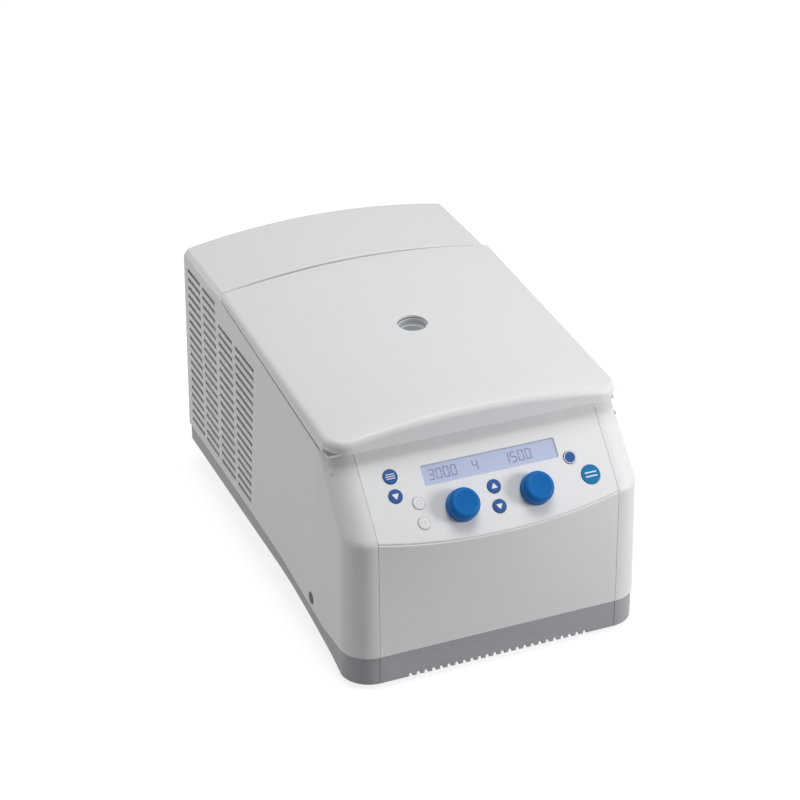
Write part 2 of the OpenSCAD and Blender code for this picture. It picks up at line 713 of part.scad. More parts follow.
bolt_z = 229;
bolt_travel = 8;
plunger_r = 3;
solenoid_x = -141;
module latch_bolt() color(steel) {
    y0 = hook_y0 + 3;
    y1 = hook_y1 - 3;
    tip = 0.5 + hook_t / 2;
    left_tip = -hook_x - tip;
    right_tip = hook_x - tip;
    block([left_tip - 22, y0, bolt_z], [right_tip, y1, bolt_z + 6]);
    block([left_tip - 22, y0, bolt_z], [left_tip - 8, y1, window_z1 - 2]);
    block([left_tip - 10, y0, window_z0 + 2], [left_tip, y1, window_z1 - 2]);
    block([right_tip - 18, y0, bolt_z], [right_tip - 8, y1, window_z1 - 2]);
    block([right_tip - 10, y0, window_z0 + 2], [right_tip, y1, window_z1 - 2]);
    translate([left_tip - 22 - 16, (y0 + y1) / 2, window_z0]) rotate([0, 90, 0]) cylinder(r = plunger_r, h = 17);
}
module latch_rail() color("silver") {
    block([-174, hook_y0 - 2, bolt_z - 3.3], [150, hook_y1 + 1, bolt_z - seat_gap]);
    block([-174, hook_y0 - 2, bolt_z - 3.3], [-171, hook_y1 + 1, deck_z]);
    block([147, hook_y0 - 2, bolt_z - 3.3], [150, hook_y1 + 1, deck_z]);
}
module latch_solenoid() color("dimgray") {
    difference() {
        block([-170.7, hook_y0 - 1, bolt_z], [solenoid_x - 3, hook_y1, window_z1]);
        translate([-165, (hook_y0 + hook_y1) / 2, window_z0]) rotate([0, 90, 0]) cylinder(r = plunger_r + fit, h = 60);
    }
}

module release_plug() color([0.2, 0.21, 0.22]) {
    translate([-half_width(release_z) + 0.2, release_y, release_z]) rotate([0, 90, 0]) cylinder(r = release_r, h = 12);
}

module chamber_bowl() color(steel) {
    translate([0, axis_y, 0]) difference() {
        union() {
            translate([0, 0, bowl_z - bowl_t]) cylinder(r = bowl_r + bowl_t, h = bowl_top - bowl_z + bowl_t);
            translate([0, 0, bowl_top]) cylinder(r = bowl_r + 8, h = bowl_t);
        }
        translate([0, 0, bowl_z]) cylinder(r = bowl_r, h = 200);
        cylinder(r = shaft_r + 8, h = 400);
    }
}
module bowl_foam() color([0.85, 0.82, 0.7]) {
    translate([0, axis_y, 0]) difference() {
        translate([0, 0, stand_z]) cylinder(r = foam_r, h = bowl_top - stand_z);
        translate([0, 0, bowl_z - bowl_t]) cylinder(r = bowl_r + bowl_t, h = 200);
        cylinder(r = shaft_r + 8, h = 400);
    }
}
leg_r = 140;
module bowl_stand() color("silver") {
    difference() {
        union() {
            translate([0, axis_y, stand_z - 2]) cylinder(r = foam_r - 2, h = 2);
            for (a = [45:90:315])
                translate([leg_r * cos(a), axis_y + leg_r * sin(a), chassis_top]) cylinder(r = 8, h = stand_z - 1 - chassis_top);
        }
        translate([0, axis_y, 0]) cylinder(r = motor_r + 6, h = 400);
    }
}

// How far the deck goes on under the hood
deck_reach = 28;
module deck_plate() color([0.75, 0.76, 0.77]) {
    notch_y = hinge_y - 110;
    hw = half_width(deck_z) - wall - 0.5;
    difference() {
        block([-hw, -226, deck_z], [hw, hood_front_y + deck_reach, deck_top]);
        translate([0, axis_y, 0]) cylinder(r = bowl_r, h = 400);
        for (s = [-1, 1]) {
            block([s * arm_x - arm_t / 2 - 3, notch_y, 0], [s * arm_x + arm_t / 2 + 3, big, big]);
            block([s * hook_x - hook_t / 2 - 2, hook_y0 - 7, 0], [s * hook_x + hook_t / 2 + 2, hook_y1 + 2, big]);
        }
    }
}

motor_h = 62;
cavity_r = 46;
bearing_r = 16;
module motor_housing() color([0.35, 0.36, 0.38]) {
    translate([0, axis_y, motor_z]) difference() {
        cylinder(r = motor_r, h = motor_h);
        translate([0, 0, 14]) cylinder(r = cavity_r, h = motor_h - 26);
        translate([0, 0, 4]) cylinder(r = bearing_r, h = motor_h);
    }
}
module motor_stator() color([0.6, 0.35, 0.2]) {
    translate([0, axis_y, motor_z + 15]) difference() {
        cylinder(r = cavity_r, h = motor_h - 28);
        translate([0, 0, -1]) cylinder(r = 32, h = 100);
    }
}
module motor_dampers() color([0.15, 0.15, 0.16]) {
    for (a = [30:120:270])
        translate([46 * cos(a), axis_y + 46 * sin(a), chassis_top]) cylinder(r = 10, h = motor_z - chassis_top);
}
module motor_bearings() color(steel) {
    for (z = [4.5, motor_h - 10])
        translate([0, axis_y, motor_z + z]) difference() {
            cylinder(r = bearing_r, h = 9);
            translate([0, 0, -1]) cylinder(r = shaft_r + fit, h = 20);
        }
}
yoke_z = pivot_z - 4;
module drive_shaft() color(steel) {
    translate([0, axis_y, 0]) {
        translate([0, 0, motor_z + 5]) cylinder(r = shaft_r, h = yoke_z + 18 - motor_z - 5);
        translate([0, 0, motor_z + 17]) cylinder(r = 31, h = motor_h - 32);
    }
}
module shaft_boot() color([0.17, 0.17, 0.18]) {
    translate([0, axis_y, motor_z + motor_h]) difference() {
        cylinder(r = shaft_r + 7.7, h = bowl_z + 4 - motor_z - motor_h);
        translate([0, 0, -1]) cylinder(r = shaft_r + 1, h = 100);
    }
}

pin_y = plate_l / 2 + bucket_wall;
module rotor_yoke() color([0.66, 0.67, 0.7]) {
    bar_in = pin_y + 1;
    bar_out = bar_in + 9;
    translate([0, axis_y, 0]) difference() {
        union() {
            translate([0, 0, yoke_z - 26]) cylinder(r = 17, h = 38);
            for (s = [-1, 1]) {
                block([-pivot_x - 12, s * (bar_in + bar_out) / 2 - 4.5, yoke_z - 8], [pivot_x + 12, s * (bar_in + bar_out) / 2 + 4.5, yoke_z + 12]);
                block([-12, min(0, s * bar_out), yoke_z - 8], [12, max(0, s * bar_out), yoke_z + 8]);
                for (x = [-pivot_x, pivot_x])
                    translate([x, s * (bar_in + 1), pivot_z]) rotate([s * 90, 0, 0]) cylinder(r = pivot_r, h = 1 + 1 + 4);
            }
        }
        translate([0, 0, yoke_z - 40]) cylinder(r = shaft_r + 0.01, h = 100);
    }
}
module rotor_nut() color("silver") {
    translate([0, axis_y, yoke_z + 12]) difference() {
        union() {
            cylinder(r = 15, h = 9);
            translate([0, 0, 9]) cylinder(r1 = 12, r2 = 9, h = 5);
        }
        translate([0, 0, -1]) cylinder(r = shaft_r + 0.01, h = 8);
    }
}

// A bucket for one stack of plates, hung on the yoke's two pins
module bucket(x) color([0.5, 0.53, 0.58]) {
    hl = plate_l / 2 + bucket_wall;
    hw = plate_w / 2 + bucket_wall;
    ear_t = 4;
    translate([x, axis_y, pivot_z]) difference() {
        union() {
            block([-hw, -hl, -bucket_depth], [hw, hl, -8]);
            for (s = [-1, 1])
                block([-12, s * (hl - ear_t / 2) - ear_t / 2, -12], [12, s * (hl - ear_t / 2) + ear_t / 2, 9]);
        }
        block([-plate_w / 2, -plate_l / 2, bucket_wall - bucket_depth], [plate_w / 2, plate_l / 2, 30]);
        rotate([90, 0, 0]) cylinder(r = pivot_r + fit, h = 300, center = true);
    }
}
module bucket_left() bucket(-pivot_x);
module bucket_right() bucket(pivot_x);

comp_x = 95;
comp_y = rear_y - 16 - comp_r;
module compressor() color([0.12, 0.12, 0.13]) {
    translate([comp_x, comp_y, chassis_top]) {
        translate([0, 0, 10]) cylinder(r = comp_r, h = comp_h - 30);
        translate([0, 0, comp_h - 20]) cylinder(r1 = comp_r, r2 = comp_r - 22, h = 20);
        for (a = [45:90:315])
            translate([(comp_r - 14) * cos(a), (comp_r - 14) * sin(a), 0]) cylinder(r = 8, h = 11);
    }
}

cond_x = 27 - body_hw;
cond_y0 = rear_y - 157;
cond_y1 = rear_y - 13;
cond_top = 222;
module condenser() color("silver") {
    fin_pitch = 9;
    for (y = [cond_y0:fin_pitch:cond_y1])
        block([cond_x, y, chassis_top], [cond_x + cond_w, y + 1, cond_top]);
    for (k = [0:5])
        translate([cond_x + cond_w / 2, cond_y0 - 4, 70 + 26 * k]) rotate([-90, 0, 0]) cylinder(r = 4, h = cond_y1 - cond_y0 + 8);
}

fan_y = rear_y - 84;
fan_z = 135;
fan_x = cond_x + cond_w + 3;
hub_r = 19;
module fan_frame() color([0.1, 0.1, 0.11]) {
    half = fan_w / 2;
    difference() {
        union() {
            block([fan_x, fan_y - half, fan_z - half], [fan_x + fan_t, fan_y + half, fan_z + half]);
            for (s = [-1, 1])
                block([fan_x + 2, fan_y + s * (half - 10) - 5, chassis_top],
                    [fan_x + fan_t - 2, fan_y + s * (half - 10) + 5, fan_z - half + 1]);
        }
        translate([fan_x - 1, fan_y, fan_z]) rotate([0, 90, 0]) cylinder(r = half - 3, h = fan_t + 2);
    }
    // Motor seat in the middle, held by three struts
    translate([fan_x + fan_t - 6.5, fan_y, fan_z]) rotate([0, 90, 0]) cylinder(r = hub_r, h = 5.5);
    for (a = [0:120:240])
        translate([fan_x + fan_t - 5, fan_y, fan_z]) rotate([a, 0, 0]) block([0, -2.5, 10], [3, 2.5, half - 1.5]);
    translate([fan_x + 4, fan_y, fan_z]) rotate([0, 90, 0]) cylinder(r = 2.5, h = fan_t - 8);
}
module fan_rotor() color([0.15, 0.15, 0.16]) {
    blades = 7;
    depth = fan_t - 10;
    translate([fan_x + 2, fan_y, fan_z]) rotate([0, 90, 0]) difference() {
        union() {
            cylinder(r = hub_r, h = depth);
            for (a = [0:blades - 1])
                rotate([0, 0, a * 360 / blades]) translate([hub_r - 3, 0, depth / 2]) rotate([38, 0, 0])
                    translate([0, -10, -0.8]) cube([fan_w / 2 - 6 - hub_r + 2, 20, 1.6]);
        }
        translate([0, 0, -1]) cylinder(r = 2.5 + fit, h = depth + 2);
    }
}

// Straight pipe between two points, with round ends
module pipe(a, b, r = 4) {
    d = b - a;
    len = norm(d);
    translate(a) rotate([0, acos(d[2] / len), atan2(d[1], d[0])]) cylinder(r = r, h = len);
    translate(b) sphere(r = r, $fn = 48);
}
module refrigerant_pipes() color([0.72, 0.45, 0.25]) {
    top = chassis_top + comp_h;
    rise = 237;
    far_x = cond_x + cond_w / 2;
    pipe([comp_x, comp_y, top], [comp_x, comp_y, rise]);
    pipe([comp_x, comp_y, rise], [far_x, comp_y, rise]);
    translate([far_x, comp_y, cond_top]) cylinder(r = 4, h = rise - cond_top);
    touch_y = axis_y + sqrt(foam_r * foam_r - comp_x * comp_x) + 4;
    translate([comp_x, touch_y, 150]) rotate([-90, 0, 0]) cylinder(r = 4, h = comp_y - comp_r - touch_y);
}

module power_board() color("darkgreen") {
    y = 160;
    block([-95, y, chassis_top], [25, y + 2, 180]);
    block([-80, y - 12, 70], [-40, y + 1, 110]);
    block([-25, y - 14, 60], [10, y + 1, 120]);
    for (x = [-70:20:10]) translate([x, y + 1, 150]) rotate([90, 0, 0]) cylinder(r = 7, h = 16);
}

base_tray();
main_housing();
front_panel();
control_panel();
rear_panel();
rubber_feet();
foot_screws();
chassis_plate();
lid_shell();
lid_liner();
lid_seal();
port_ring();
port_glass();
hinge_arms();
hinge_shaft();
hinge_uprights();
hinge_springs();
latch_hooks();
latch_rail();
latch_bolt();
latch_solenoid();
release_plug();
chamber_bowl();
bowl_foam();
bowl_stand();
deck_plate();
motor_housing();
motor_stator();
motor_dampers();
motor_bearings();
drive_shaft();
shaft_boot();
rotor_yoke();
rotor_nut();
bucket_left();
bucket_right();
compressor();
condenser();
fan_frame();
fan_rotor();
refrigerant_pipes();
control_board();
power_board();
display_module();
display_window();
display_digits();
knob_left();
knob_right();
encoders();
button_lines();
button_ramp();
button_white_upper();
button_white_lower();
button_warmer();
button_cooler();
button_open();
button_start();
power_inlet();
power_switch();
panel_screws();
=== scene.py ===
# %% [markdown]
# A refrigerated bench centrifuge for microplates. The imported model gives every solid its place,
# and this lesson dresses it: soft moulded covers, a sloping control panel with knobs and keys,
# a steel chamber under the lid, and a finish for every material. Loading the model comes first,
# because each later piece is measured against it. Its box is kept, and its size is printed.

# %% Load the imported model
import json
import math
import bpy
import bmesh
from mathutils import Matrix, Vector
from mathutils.geometry import delaunay_2d_cdt


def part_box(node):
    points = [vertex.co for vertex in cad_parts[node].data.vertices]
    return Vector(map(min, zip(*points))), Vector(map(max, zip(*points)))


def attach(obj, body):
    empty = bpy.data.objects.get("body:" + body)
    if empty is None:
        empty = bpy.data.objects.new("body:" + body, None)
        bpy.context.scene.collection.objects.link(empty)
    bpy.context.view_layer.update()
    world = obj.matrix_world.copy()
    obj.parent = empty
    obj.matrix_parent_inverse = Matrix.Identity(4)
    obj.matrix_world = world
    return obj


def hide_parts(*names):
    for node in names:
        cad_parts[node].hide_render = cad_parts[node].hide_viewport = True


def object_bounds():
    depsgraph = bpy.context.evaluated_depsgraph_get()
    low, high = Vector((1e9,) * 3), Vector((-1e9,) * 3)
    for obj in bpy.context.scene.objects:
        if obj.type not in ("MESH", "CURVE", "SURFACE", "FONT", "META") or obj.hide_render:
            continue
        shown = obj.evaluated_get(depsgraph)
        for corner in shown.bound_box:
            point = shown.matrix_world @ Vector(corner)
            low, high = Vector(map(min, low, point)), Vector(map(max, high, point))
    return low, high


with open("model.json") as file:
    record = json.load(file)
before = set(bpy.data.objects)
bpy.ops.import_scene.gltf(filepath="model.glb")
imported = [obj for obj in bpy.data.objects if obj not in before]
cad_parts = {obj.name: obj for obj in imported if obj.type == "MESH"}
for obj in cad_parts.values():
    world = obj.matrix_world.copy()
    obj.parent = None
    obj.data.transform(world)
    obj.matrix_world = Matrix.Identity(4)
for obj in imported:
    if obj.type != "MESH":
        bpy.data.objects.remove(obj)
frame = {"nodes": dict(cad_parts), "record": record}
cad_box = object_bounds()
MM = 0.001
size_mm = [round((high - low) / MM, 1) for low, high in zip(*cad_box)]
print("packed model:", len(frame["nodes"]), "nodes,", size_mm, "mm")

# %% [markdown]
# The camera stands in front and to the left, above the lid. Its place, aim and lens were worked
# out from straight edges of the instrument, so the dressed model fills the same part of the
# frame as the real one. A long lens keeps the edges nearly parallel, as product pictures do.
# The matrix columns are the camera's right, up and backward directions.

# %% Camera
def placed(name, data):
    thing = bpy.data.objects.new(name, data)
    bpy.context.scene.collection.objects.link(thing)
    return thing


CAMERA_PLACE = Vector((-1.0202, -2.5025, 1.6911))
CAMERA_YAW, CAMERA_PITCH, CAMERA_ROLL = map(math.radians, (-22.08, 28.74, -0.64))
LENS_MM = 109.5
MIDDLE = Vector((0, 0, 0.17))
flat = math.cos(CAMERA_PITCH)
backward = Vector((math.sin(CAMERA_YAW) * flat, -math.cos(CAMERA_YAW) * flat,
                   math.sin(CAMERA_PITCH)))
level_right = Vector((math.cos(CAMERA_YAW), math.sin(CAMERA_YAW), 0))
level_up = backward.cross(level_right)
right = math.cos(CAMERA_ROLL) * level_right + math.sin(CAMERA_ROLL) * level_up
up = math.cos(CAMERA_ROLL) * level_up - math.sin(CAMERA_ROLL) * level_right
camera_data = bpy.data.cameras.new("photo_camera")
camera_data.lens = LENS_MM
camera = placed("photo_camera", camera_data)
camera_turn = Matrix((right, up, backward)).transposed().to_4x4()
camera.matrix_world = Matrix.Translation(CAMERA_PLACE) @ camera_turn
bpy.context.scene.camera = camera
bpy.context.scene.view_settings.view_transform = "Standard"
print("camera", round((camera.location - MIDDLE).length, 2), "m from the instrument")

# %% [markdown]
# A finish is a small network of nodes. Real moulded plastic is never one colour: it has a fine
# grain that breaks up reflections, a slow drift of tone over the part, and paler edges where
# hands and cloths rub it. One function makes that network, and each finish names how strong
# each effect is. The patterns are worked out from the object's own coordinates, so they
# stay on the part when it moves and need no picture files.

# %% Helper: a finish made of nodes
RUB_START, RUB_FULL = 0.53, 0.62
EDGE_GAIN, EDGE_LIFT = 1.35, 0.03
GLOSS_SWING, BUMP_STRENGTH = 0.07, 0.6
finishes = {}


def link(tree, source, target):
    tree.links.new(source, target)


def finish(slot, colour, roughness, metal=0.0, grain=900, depth=0.02, drift=0.03, drift_size=9,
           stretch=(1, 1, 1), wear=0.0, **sockets):
    """Principled finish with a grain, a slow drift of tone, uneven gloss and rubbed edges."""
    material = bpy.data.materials.new(slot)
    material.use_nodes = True
    tree = material.node_tree
    shader = tree.nodes["Principled BSDF"]
    shader.inputs["Metallic"].default_value = metal
    for name, value in sockets.items():
        shader.inputs[name.replace("_", " ")].default_value = value
    place = tree.nodes.new("ShaderNodeTexCoord")
    mapping = tree.nodes.new("ShaderNodeMapping")
    mapping.inputs["Scale"].default_value = stretch
    link(tree, place.outputs["Object"], mapping.inputs["Vector"])
    fine = tree.nodes.new("ShaderNodeTexNoise")
    fine.inputs["Scale"].default_value = grain
    fine.inputs["Detail"].default_value = 4
    link(tree, mapping.outputs["Vector"], fine.inputs["Vector"])
    slow = tree.nodes.new("ShaderNodeTexNoise")
    slow.inputs["Scale"].default_value = drift_size
    link(tree, place.outputs["Object"], slow.inputs["Vector"])
    tone = tree.nodes.new("ShaderNodeMix")
    tone.data_type = "RGBA"
    tone.inputs["A"].default_value = [c * (1 - drift) for c in colour[:3]] + [1]
    tone.inputs["B"].default_value = [min(1, c * (1 + drift)) for c in colour[:3]] + [1]
    link(tree, slow.outputs["Fac"], tone.inputs["Factor"])
    rubbed = tree.nodes.new("ShaderNodeMapRange")
    for name, value in (("From Min", RUB_START), ("From Max", RUB_FULL), ("To Max", wear)):
        rubbed.inputs[name].default_value = value
    shape = tree.nodes.new("ShaderNodeNewGeometry")
    link(tree, shape.outputs["Pointiness"], rubbed.inputs["Value"])
    edge = tree.nodes.new("ShaderNodeMix")
    edge.data_type = "RGBA"
    edge.inputs["B"].default_value = [min(1, c * EDGE_GAIN + EDGE_LIFT) for c in colour[:3]] + [1]
    link(tree, rubbed.outputs["Result"], edge.inputs["Factor"])
    link(tree, tone.outputs["Result"], edge.inputs["A"])
    link(tree, edge.outputs["Result"], shader.inputs["Base Color"])
    gloss = tree.nodes.new("ShaderNodeMapRange")
    gloss.inputs["To Min"].default_value = max(0.02, roughness - GLOSS_SWING)
    gloss.inputs["To Max"].default_value = min(1, roughness + GLOSS_SWING)
    link(tree, fine.outputs["Fac"], gloss.inputs["Value"])
    link(tree, gloss.outputs["Result"], shader.inputs["Roughness"])
    bump = tree.nodes.new("ShaderNodeBump")
    bump.inputs["Strength"].default_value = BUMP_STRENGTH
    bump.inputs["Distance"].default_value = depth * MM
    link(tree, fine.outputs["Fac"], bump.inputs["Height"])
    link(tree, bump.outputs["Normal"], shader.inputs["Normal"])
    finishes[slot] = material


print("finish helper ready")

# %% [markdown]
# The plastics. The covers are a cool near-white with a fine spark-eroded grain. The base is the
# same plastic in mid grey. The knobs are blue and slightly glossier, because they are polished
# by fingers, and the keys are printed under a clear foil, so a thin coat gives most of
# them a shine. Rubber is rougher and drifts more.

# %% Plastic and rubber finishes
finish("cover_white", (0.77, 0.775, 0.79), 0.44, grain=1400, depth=0.012, drift=0.012, wear=0.12)
finish("panel_foil", (0.80, 0.805, 0.82), 0.42, grain=2200, depth=0.006, drift=0.01, wear=0.1)
finish("base_grey", (0.36, 0.37, 0.39), 0.5, grain=1300, depth=0.018, drift=0.03, wear=0.15)
finish("liner_grey", (0.60, 0.61, 0.63), 0.5, grain=1200, depth=0.015, drift=0.02, wear=0.1)
finish("knob_blue", (0.001, 0.135, 0.44), 0.45, grain=1700, depth=0.01, drift=0.05, wear=0.12,
       Specular_IOR_Level=0.2)
finish("button_blue", (0.008, 0.075, 0.29), 0.4, grain=2000, depth=0.004, drift=0.04, Coat_Weight=0.1)
finish("button_light_blue", (0.004, 0.18, 0.42), 0.45, grain=2000, depth=0.004, drift=0.04,
       Specular_IOR_Level=0.3)
finish("button_white", (0.84, 0.85, 0.87), 0.3, grain=2000, depth=0.004, drift=0.01, Coat_Weight=0.3)
finish("rubber_black", (0.025, 0.025, 0.027), 0.78, grain=700, depth=0.04, drift=0.15, wear=0.3)
finish("rubber_grey", (0.09, 0.092, 0.1), 0.7, grain=800, depth=0.03, drift=0.12, wear=0.3)
finish("black_plastic", (0.025, 0.025, 0.03), 0.42, grain=1200, depth=0.015, drift=0.1, wear=0.3)
finish("foam", (0.62, 0.57, 0.44), 0.9, grain=420, depth=0.35, drift=0.1, drift_size=25)
finish("lcd_white", (0.50, 0.57, 0.80), 0.5, grain=2600, depth=0.002, drift=0.06, drift_size=14)
finish("lcd_ink", (0.045, 0.11, 0.33), 0.5, grain=2600, depth=0.002, drift=0.05)
print(len(finishes), "plastic and rubber finishes")

# %% [markdown]
# The metals. Brushing leaves long fine scratches in one direction. Stretching the grain along
# one axis copies that, and an anisotropic highlight spreads the reflection across it. The spun
# bowl is smoother, anodised aluminium is duller, and enamelled iron is nearly black with an
# orange-peel surface.

# %% Metal finishes
finish("steel_bare", (0.56, 0.57, 0.59), 0.3, metal=1, grain=500, depth=0.012, drift=0.05,
       stretch=(0.06, 1, 1), wear=0.2, Anisotropic=0.5)
finish("steel_bowl", (0.63, 0.64, 0.66), 0.24, metal=1, grain=420, depth=0.01, drift=0.04,
       stretch=(1, 1, 0.05), Anisotropic=0.6)
finish("sheet_plated", (0.60, 0.61, 0.62), 0.42, metal=1, grain=160, depth=0.01, drift=0.12, drift_size=60)
finish("rotor_metal", (0.55, 0.56, 0.6), 0.36, metal=1, grain=1200, depth=0.01, drift=0.04, wear=0.3)
finish("bucket_metal", (0.33, 0.36, 0.41), 0.4, metal=1, grain=1300, depth=0.012, drift=0.05, wear=0.5)
finish("fin_metal", (0.70, 0.71, 0.73), 0.35, metal=1, grain=600, depth=0.01, drift=0.08, stretch=(1, 1, 0.1))
finish("copper_pipe", (0.72, 0.32, 0.17), 0.3, metal=1, grain=500, depth=0.01, drift=0.2, drift_size=40)
finish("compressor_black", (0.015, 0.015, 0.017), 0.3, grain=260, depth=0.06, drift=0.2, Coat_Weight=0.3)
finish("motor_dark", (0.07, 0.07, 0.08), 0.45, metal=0.6, grain=500, depth=0.05, drift=0.15, wear=0.4)
finish("winding", (0.42, 0.15, 0.06), 0.35, metal=0.8, grain=900, depth=0.08, drift=0.2, stretch=(1, 1, 0.08))
finish("board_green", (0.015, 0.11, 0.045), 0.4, grain=350, depth=0.05, drift=0.3, drift_size=160)
print(len(finishes), "finishes so far")

# %% [markdown]
# Clear plastic and glass. The window over the display and the viewing port are thin, so light
# passes straight through and only the gloss shows. A low alpha gives that at once, and stays
# quiet in a short render, where real refraction would be noisy.

# %% Glass finish
GLASS_ALPHA = 0.16
finish("clear_glass", (0.80, 0.86, 0.92), 0.08, grain=300, depth=0.001, drift=0.02,
       IOR=1.5, Alpha=GLASS_ALPHA, Specular_IOR_Level=0.6)
print("glass lets", round(100 * (1 - GLASS_ALPHA)), "percent through")

# %% [markdown]
# Every CAD node gets the finish its record names. Nodes that are hidden inside keep their own
# mesh, which is already right. The ones that show are replaced below by softer pieces.

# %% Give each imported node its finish
slot_of = {part["node"]: part["material_slot"] for part in frame["record"]["subparts"]}
for node, thing in frame["nodes"].items():
    thing.data.materials.clear()
    thing.data.materials.append(finishes[slot_of[node]])
print(len(slot_of), "nodes have a finish")

# %% [markdown]
# New pieces are built as meshes with bmesh, Blender's mesh editor for scripts. One helper turns
# such a mesh into an object: it points the faces outward, shades curved parts smoothly while
# keeping real edges sharp, gives it a finish, hangs it on the body that carries it, and hides the
# packed nodes it stands for. A weighted-normal modifier keeps flat faces flat beside a rounded edge, and
# the open rims of a skin are marked sharp, so that its cut edges shade crisply.

# %% Helper: mesh to piece
body_of_node = {n: b for b, members in frame["record"]["behaviour"]["bodies"].items() for n in members}


def as_piece(name, mesh, body, slot, *stands_for, wall=0.0, bevel=0.0, crease=32):
    bmesh.ops.recalc_face_normals(mesh, faces=mesh.faces)
    mesh.edges.index_update()
    rims = [edge.index for edge in mesh.edges if edge.is_boundary]
    data = bpy.data.meshes.new(name)
    mesh.to_mesh(data)
    mesh.free()
    data.shade_smooth()
    data.set_sharp_from_angle(angle=math.radians(crease))
    for index in rims:
        data.edges[index].use_edge_sharp = True
    data.materials.append(finishes[slot])
    piece = placed(name, data)
    if wall:
        skin = piece.modifiers.new("Wall", "SOLIDIFY")
        skin.thickness, skin.offset, skin.use_quality_normals = wall * MM, -1, True
    if bevel:
        soft = piece.modifiers.new("Soft edges", "BEVEL")
        soft.width, soft.segments, soft.limit_method = bevel * MM, 3, "ANGLE"
        soft.angle_limit = math.radians(crease)
    piece.modifiers.new("Flat faces", "WEIGHTED_NORMAL").keep_sharp = True
    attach(piece, body)
    if stands_for:
        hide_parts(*stands_for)
    return piece


# %% [markdown]
# Round parts are turned, as on a lathe: a profile of radius and height pairs is swept round an
# axis. A profile that ends where it starts gives a ring, and one that starts and ends on the
# axis gives a solid. Flutes pull the radius in and out to make a grip.

# %% Helper: turned parts
def turned(profile, place=Matrix(), steps=72, flutes=0, flute_depth=0.0):
    mesh = bmesh.new()
    closed = profile[0] == profile[-1]
    rows = []
    for radius, height in (profile[:-1] if closed else profile):
        if radius < 1e-6:
            rows.append([mesh.verts.new((0, 0, height * MM))])
            continue
        row = []
        for k in range(steps):
            angle = 2 * math.pi * k / steps
            flute = flute_depth * (0.5 + 0.5 * math.cos(flutes * angle)) if flutes else 0
            reach = (radius - flute) * MM
            row.append(mesh.verts.new((reach * math.cos(angle), reach * math.sin(angle), height * MM)))
        rows.append(row)
    for low, high in zip(rows, rows[1:] + (rows[:1] if closed else [])):
        for k in range(steps):
            n = (k + 1) % steps
            ring = [low[k % len(low)], low[n % len(low)], high[n % len(high)], high[k % len(high)]]
            corners = list(dict.fromkeys(ring))
            if len(corners) > 2:
                mesh.faces.new(corners)
    mesh.transform(place)
    return mesh


def at(x, y, z):
    return Matrix.Translation(Vector((x, y, z)) * MM)


def joined(*meshes):
    """One bmesh from several."""
    whole = bmesh.new()
    for mesh in meshes:
        keep = bpy.data.meshes.new("part")
        mesh.to_mesh(keep)
        mesh.free()
        whole.from_mesh(keep)
        bpy.data.meshes.remove(keep)
    return whole


print("lathe ready")

# %% [markdown]
# Covers with holes start as a flat outline. A Delaunay triangulation fills the outline with
# triangles, leaves the holes out, and takes extra points inside, which are then lifted onto the
# crown.

# %% Helper: a filled outline, lifted to a surface
def inside(point, loop):
    hit = False
    x, y = point
    for (x0, y0), (x1, y1) in zip(loop, loop[1:] + loop[:1]):
        if (y0 > y) != (y1 > y) and x < (x1 - x0) * (y - y0) / (y1 - y0) + x0:
            hit = not hit
    return hit


def on_sheet(point, outline, holes):
    return inside(point, outline) and not any(inside(point, hole) for hole in holes)


def filled(outline, holes=(), spacing=None, lift=lambda x, y: 0.0):
    points, edges = [], []
    for loop in (outline, *holes):
        first = len(points)
        points += loop
        edges += [(first + i, first + (i + 1) % len(loop)) for i in range(len(loop))]
    if spacing:
        xs, ys = [p[0] for p in outline], [p[1] for p in outline]
        for i in range(1, int((max(xs) - min(xs)) / spacing)):
            for j in range(1, int((max(ys) - min(ys)) / spacing)):
                spot = (min(xs) + i * spacing, min(ys) + j * spacing)
                near = min((Vector(spot) - Vector(p)).length for loop in (outline, *holes) for p in loop)
                if near > spacing * 0.4 and on_sheet(spot, outline, holes):
                    points.append(spot)
    places, _, faces, *_ = delaunay_2d_cdt([Vector(p) for p in points], edges, [], 0, 1e-6)
    mesh = bmesh.new()
    verts = [mesh.verts.new((p.x * MM, p.y * MM, lift(p.x, p.y) * MM)) for p in places]
    for face in faces:
        middle = sum((places[i] for i in face), Vector((0, 0))) / len(face)
        if on_sheet(middle, outline, holes):
            mesh.faces.new([verts[i] for i in face])
    return mesh


def circle(x, y, radius, steps=48):
    angles = [2 * math.pi * k / steps for k in range(steps)]
    return [(x + radius * math.cos(a), y + radius * math.sin(a)) for a in angles]


def rounded(corners, radius, steps=6):
    """A polygon with its corners rounded off."""
    loop = []
    for i, corner in enumerate(corners):
        corner, before = Vector(corner), Vector(corners[i - 1])
        after = Vector(corners[(i + 1) % len(corners)])
        start = corner + (before - corner).normalized() * radius
        end = corner + (after - corner).normalized() * radius
        for k in range(steps + 1):
            t = k / steps
            loop.append(tuple(start * (1 - t) ** 2 + corner * 2 * t * (1 - t) + end * t ** 2))
    return loop


def rectangle(x0, y0, x1, y1):
    return [(x0, y0), (x1, y0), (x1, y1), (x0, y1)]


def plate(outline, low, high, holes=()):
    """A flat plate between two heights, with upright sides."""
    top = filled(outline, holes, lift=lambda x, y: high)
    bottom = filled(outline, holes, lift=lambda x, y: low)
    side = bmesh.new()
    for loop in (outline, *holes):
        rows = [[side.verts.new((x * MM, y * MM, z * MM)) for x, y in loop] for z in (low, high)]
        for k in range(len(loop)):
            n = (k + 1) % len(loop)
            side.faces.new((rows[0][k], rows[0][n], rows[1][n], rows[1][k]))
    whole = joined(top, bottom, side)
    bmesh.ops.remove_doubles(whole, verts=whole.verts, dist=1e-6)
    return whole


print("outline helper ready")

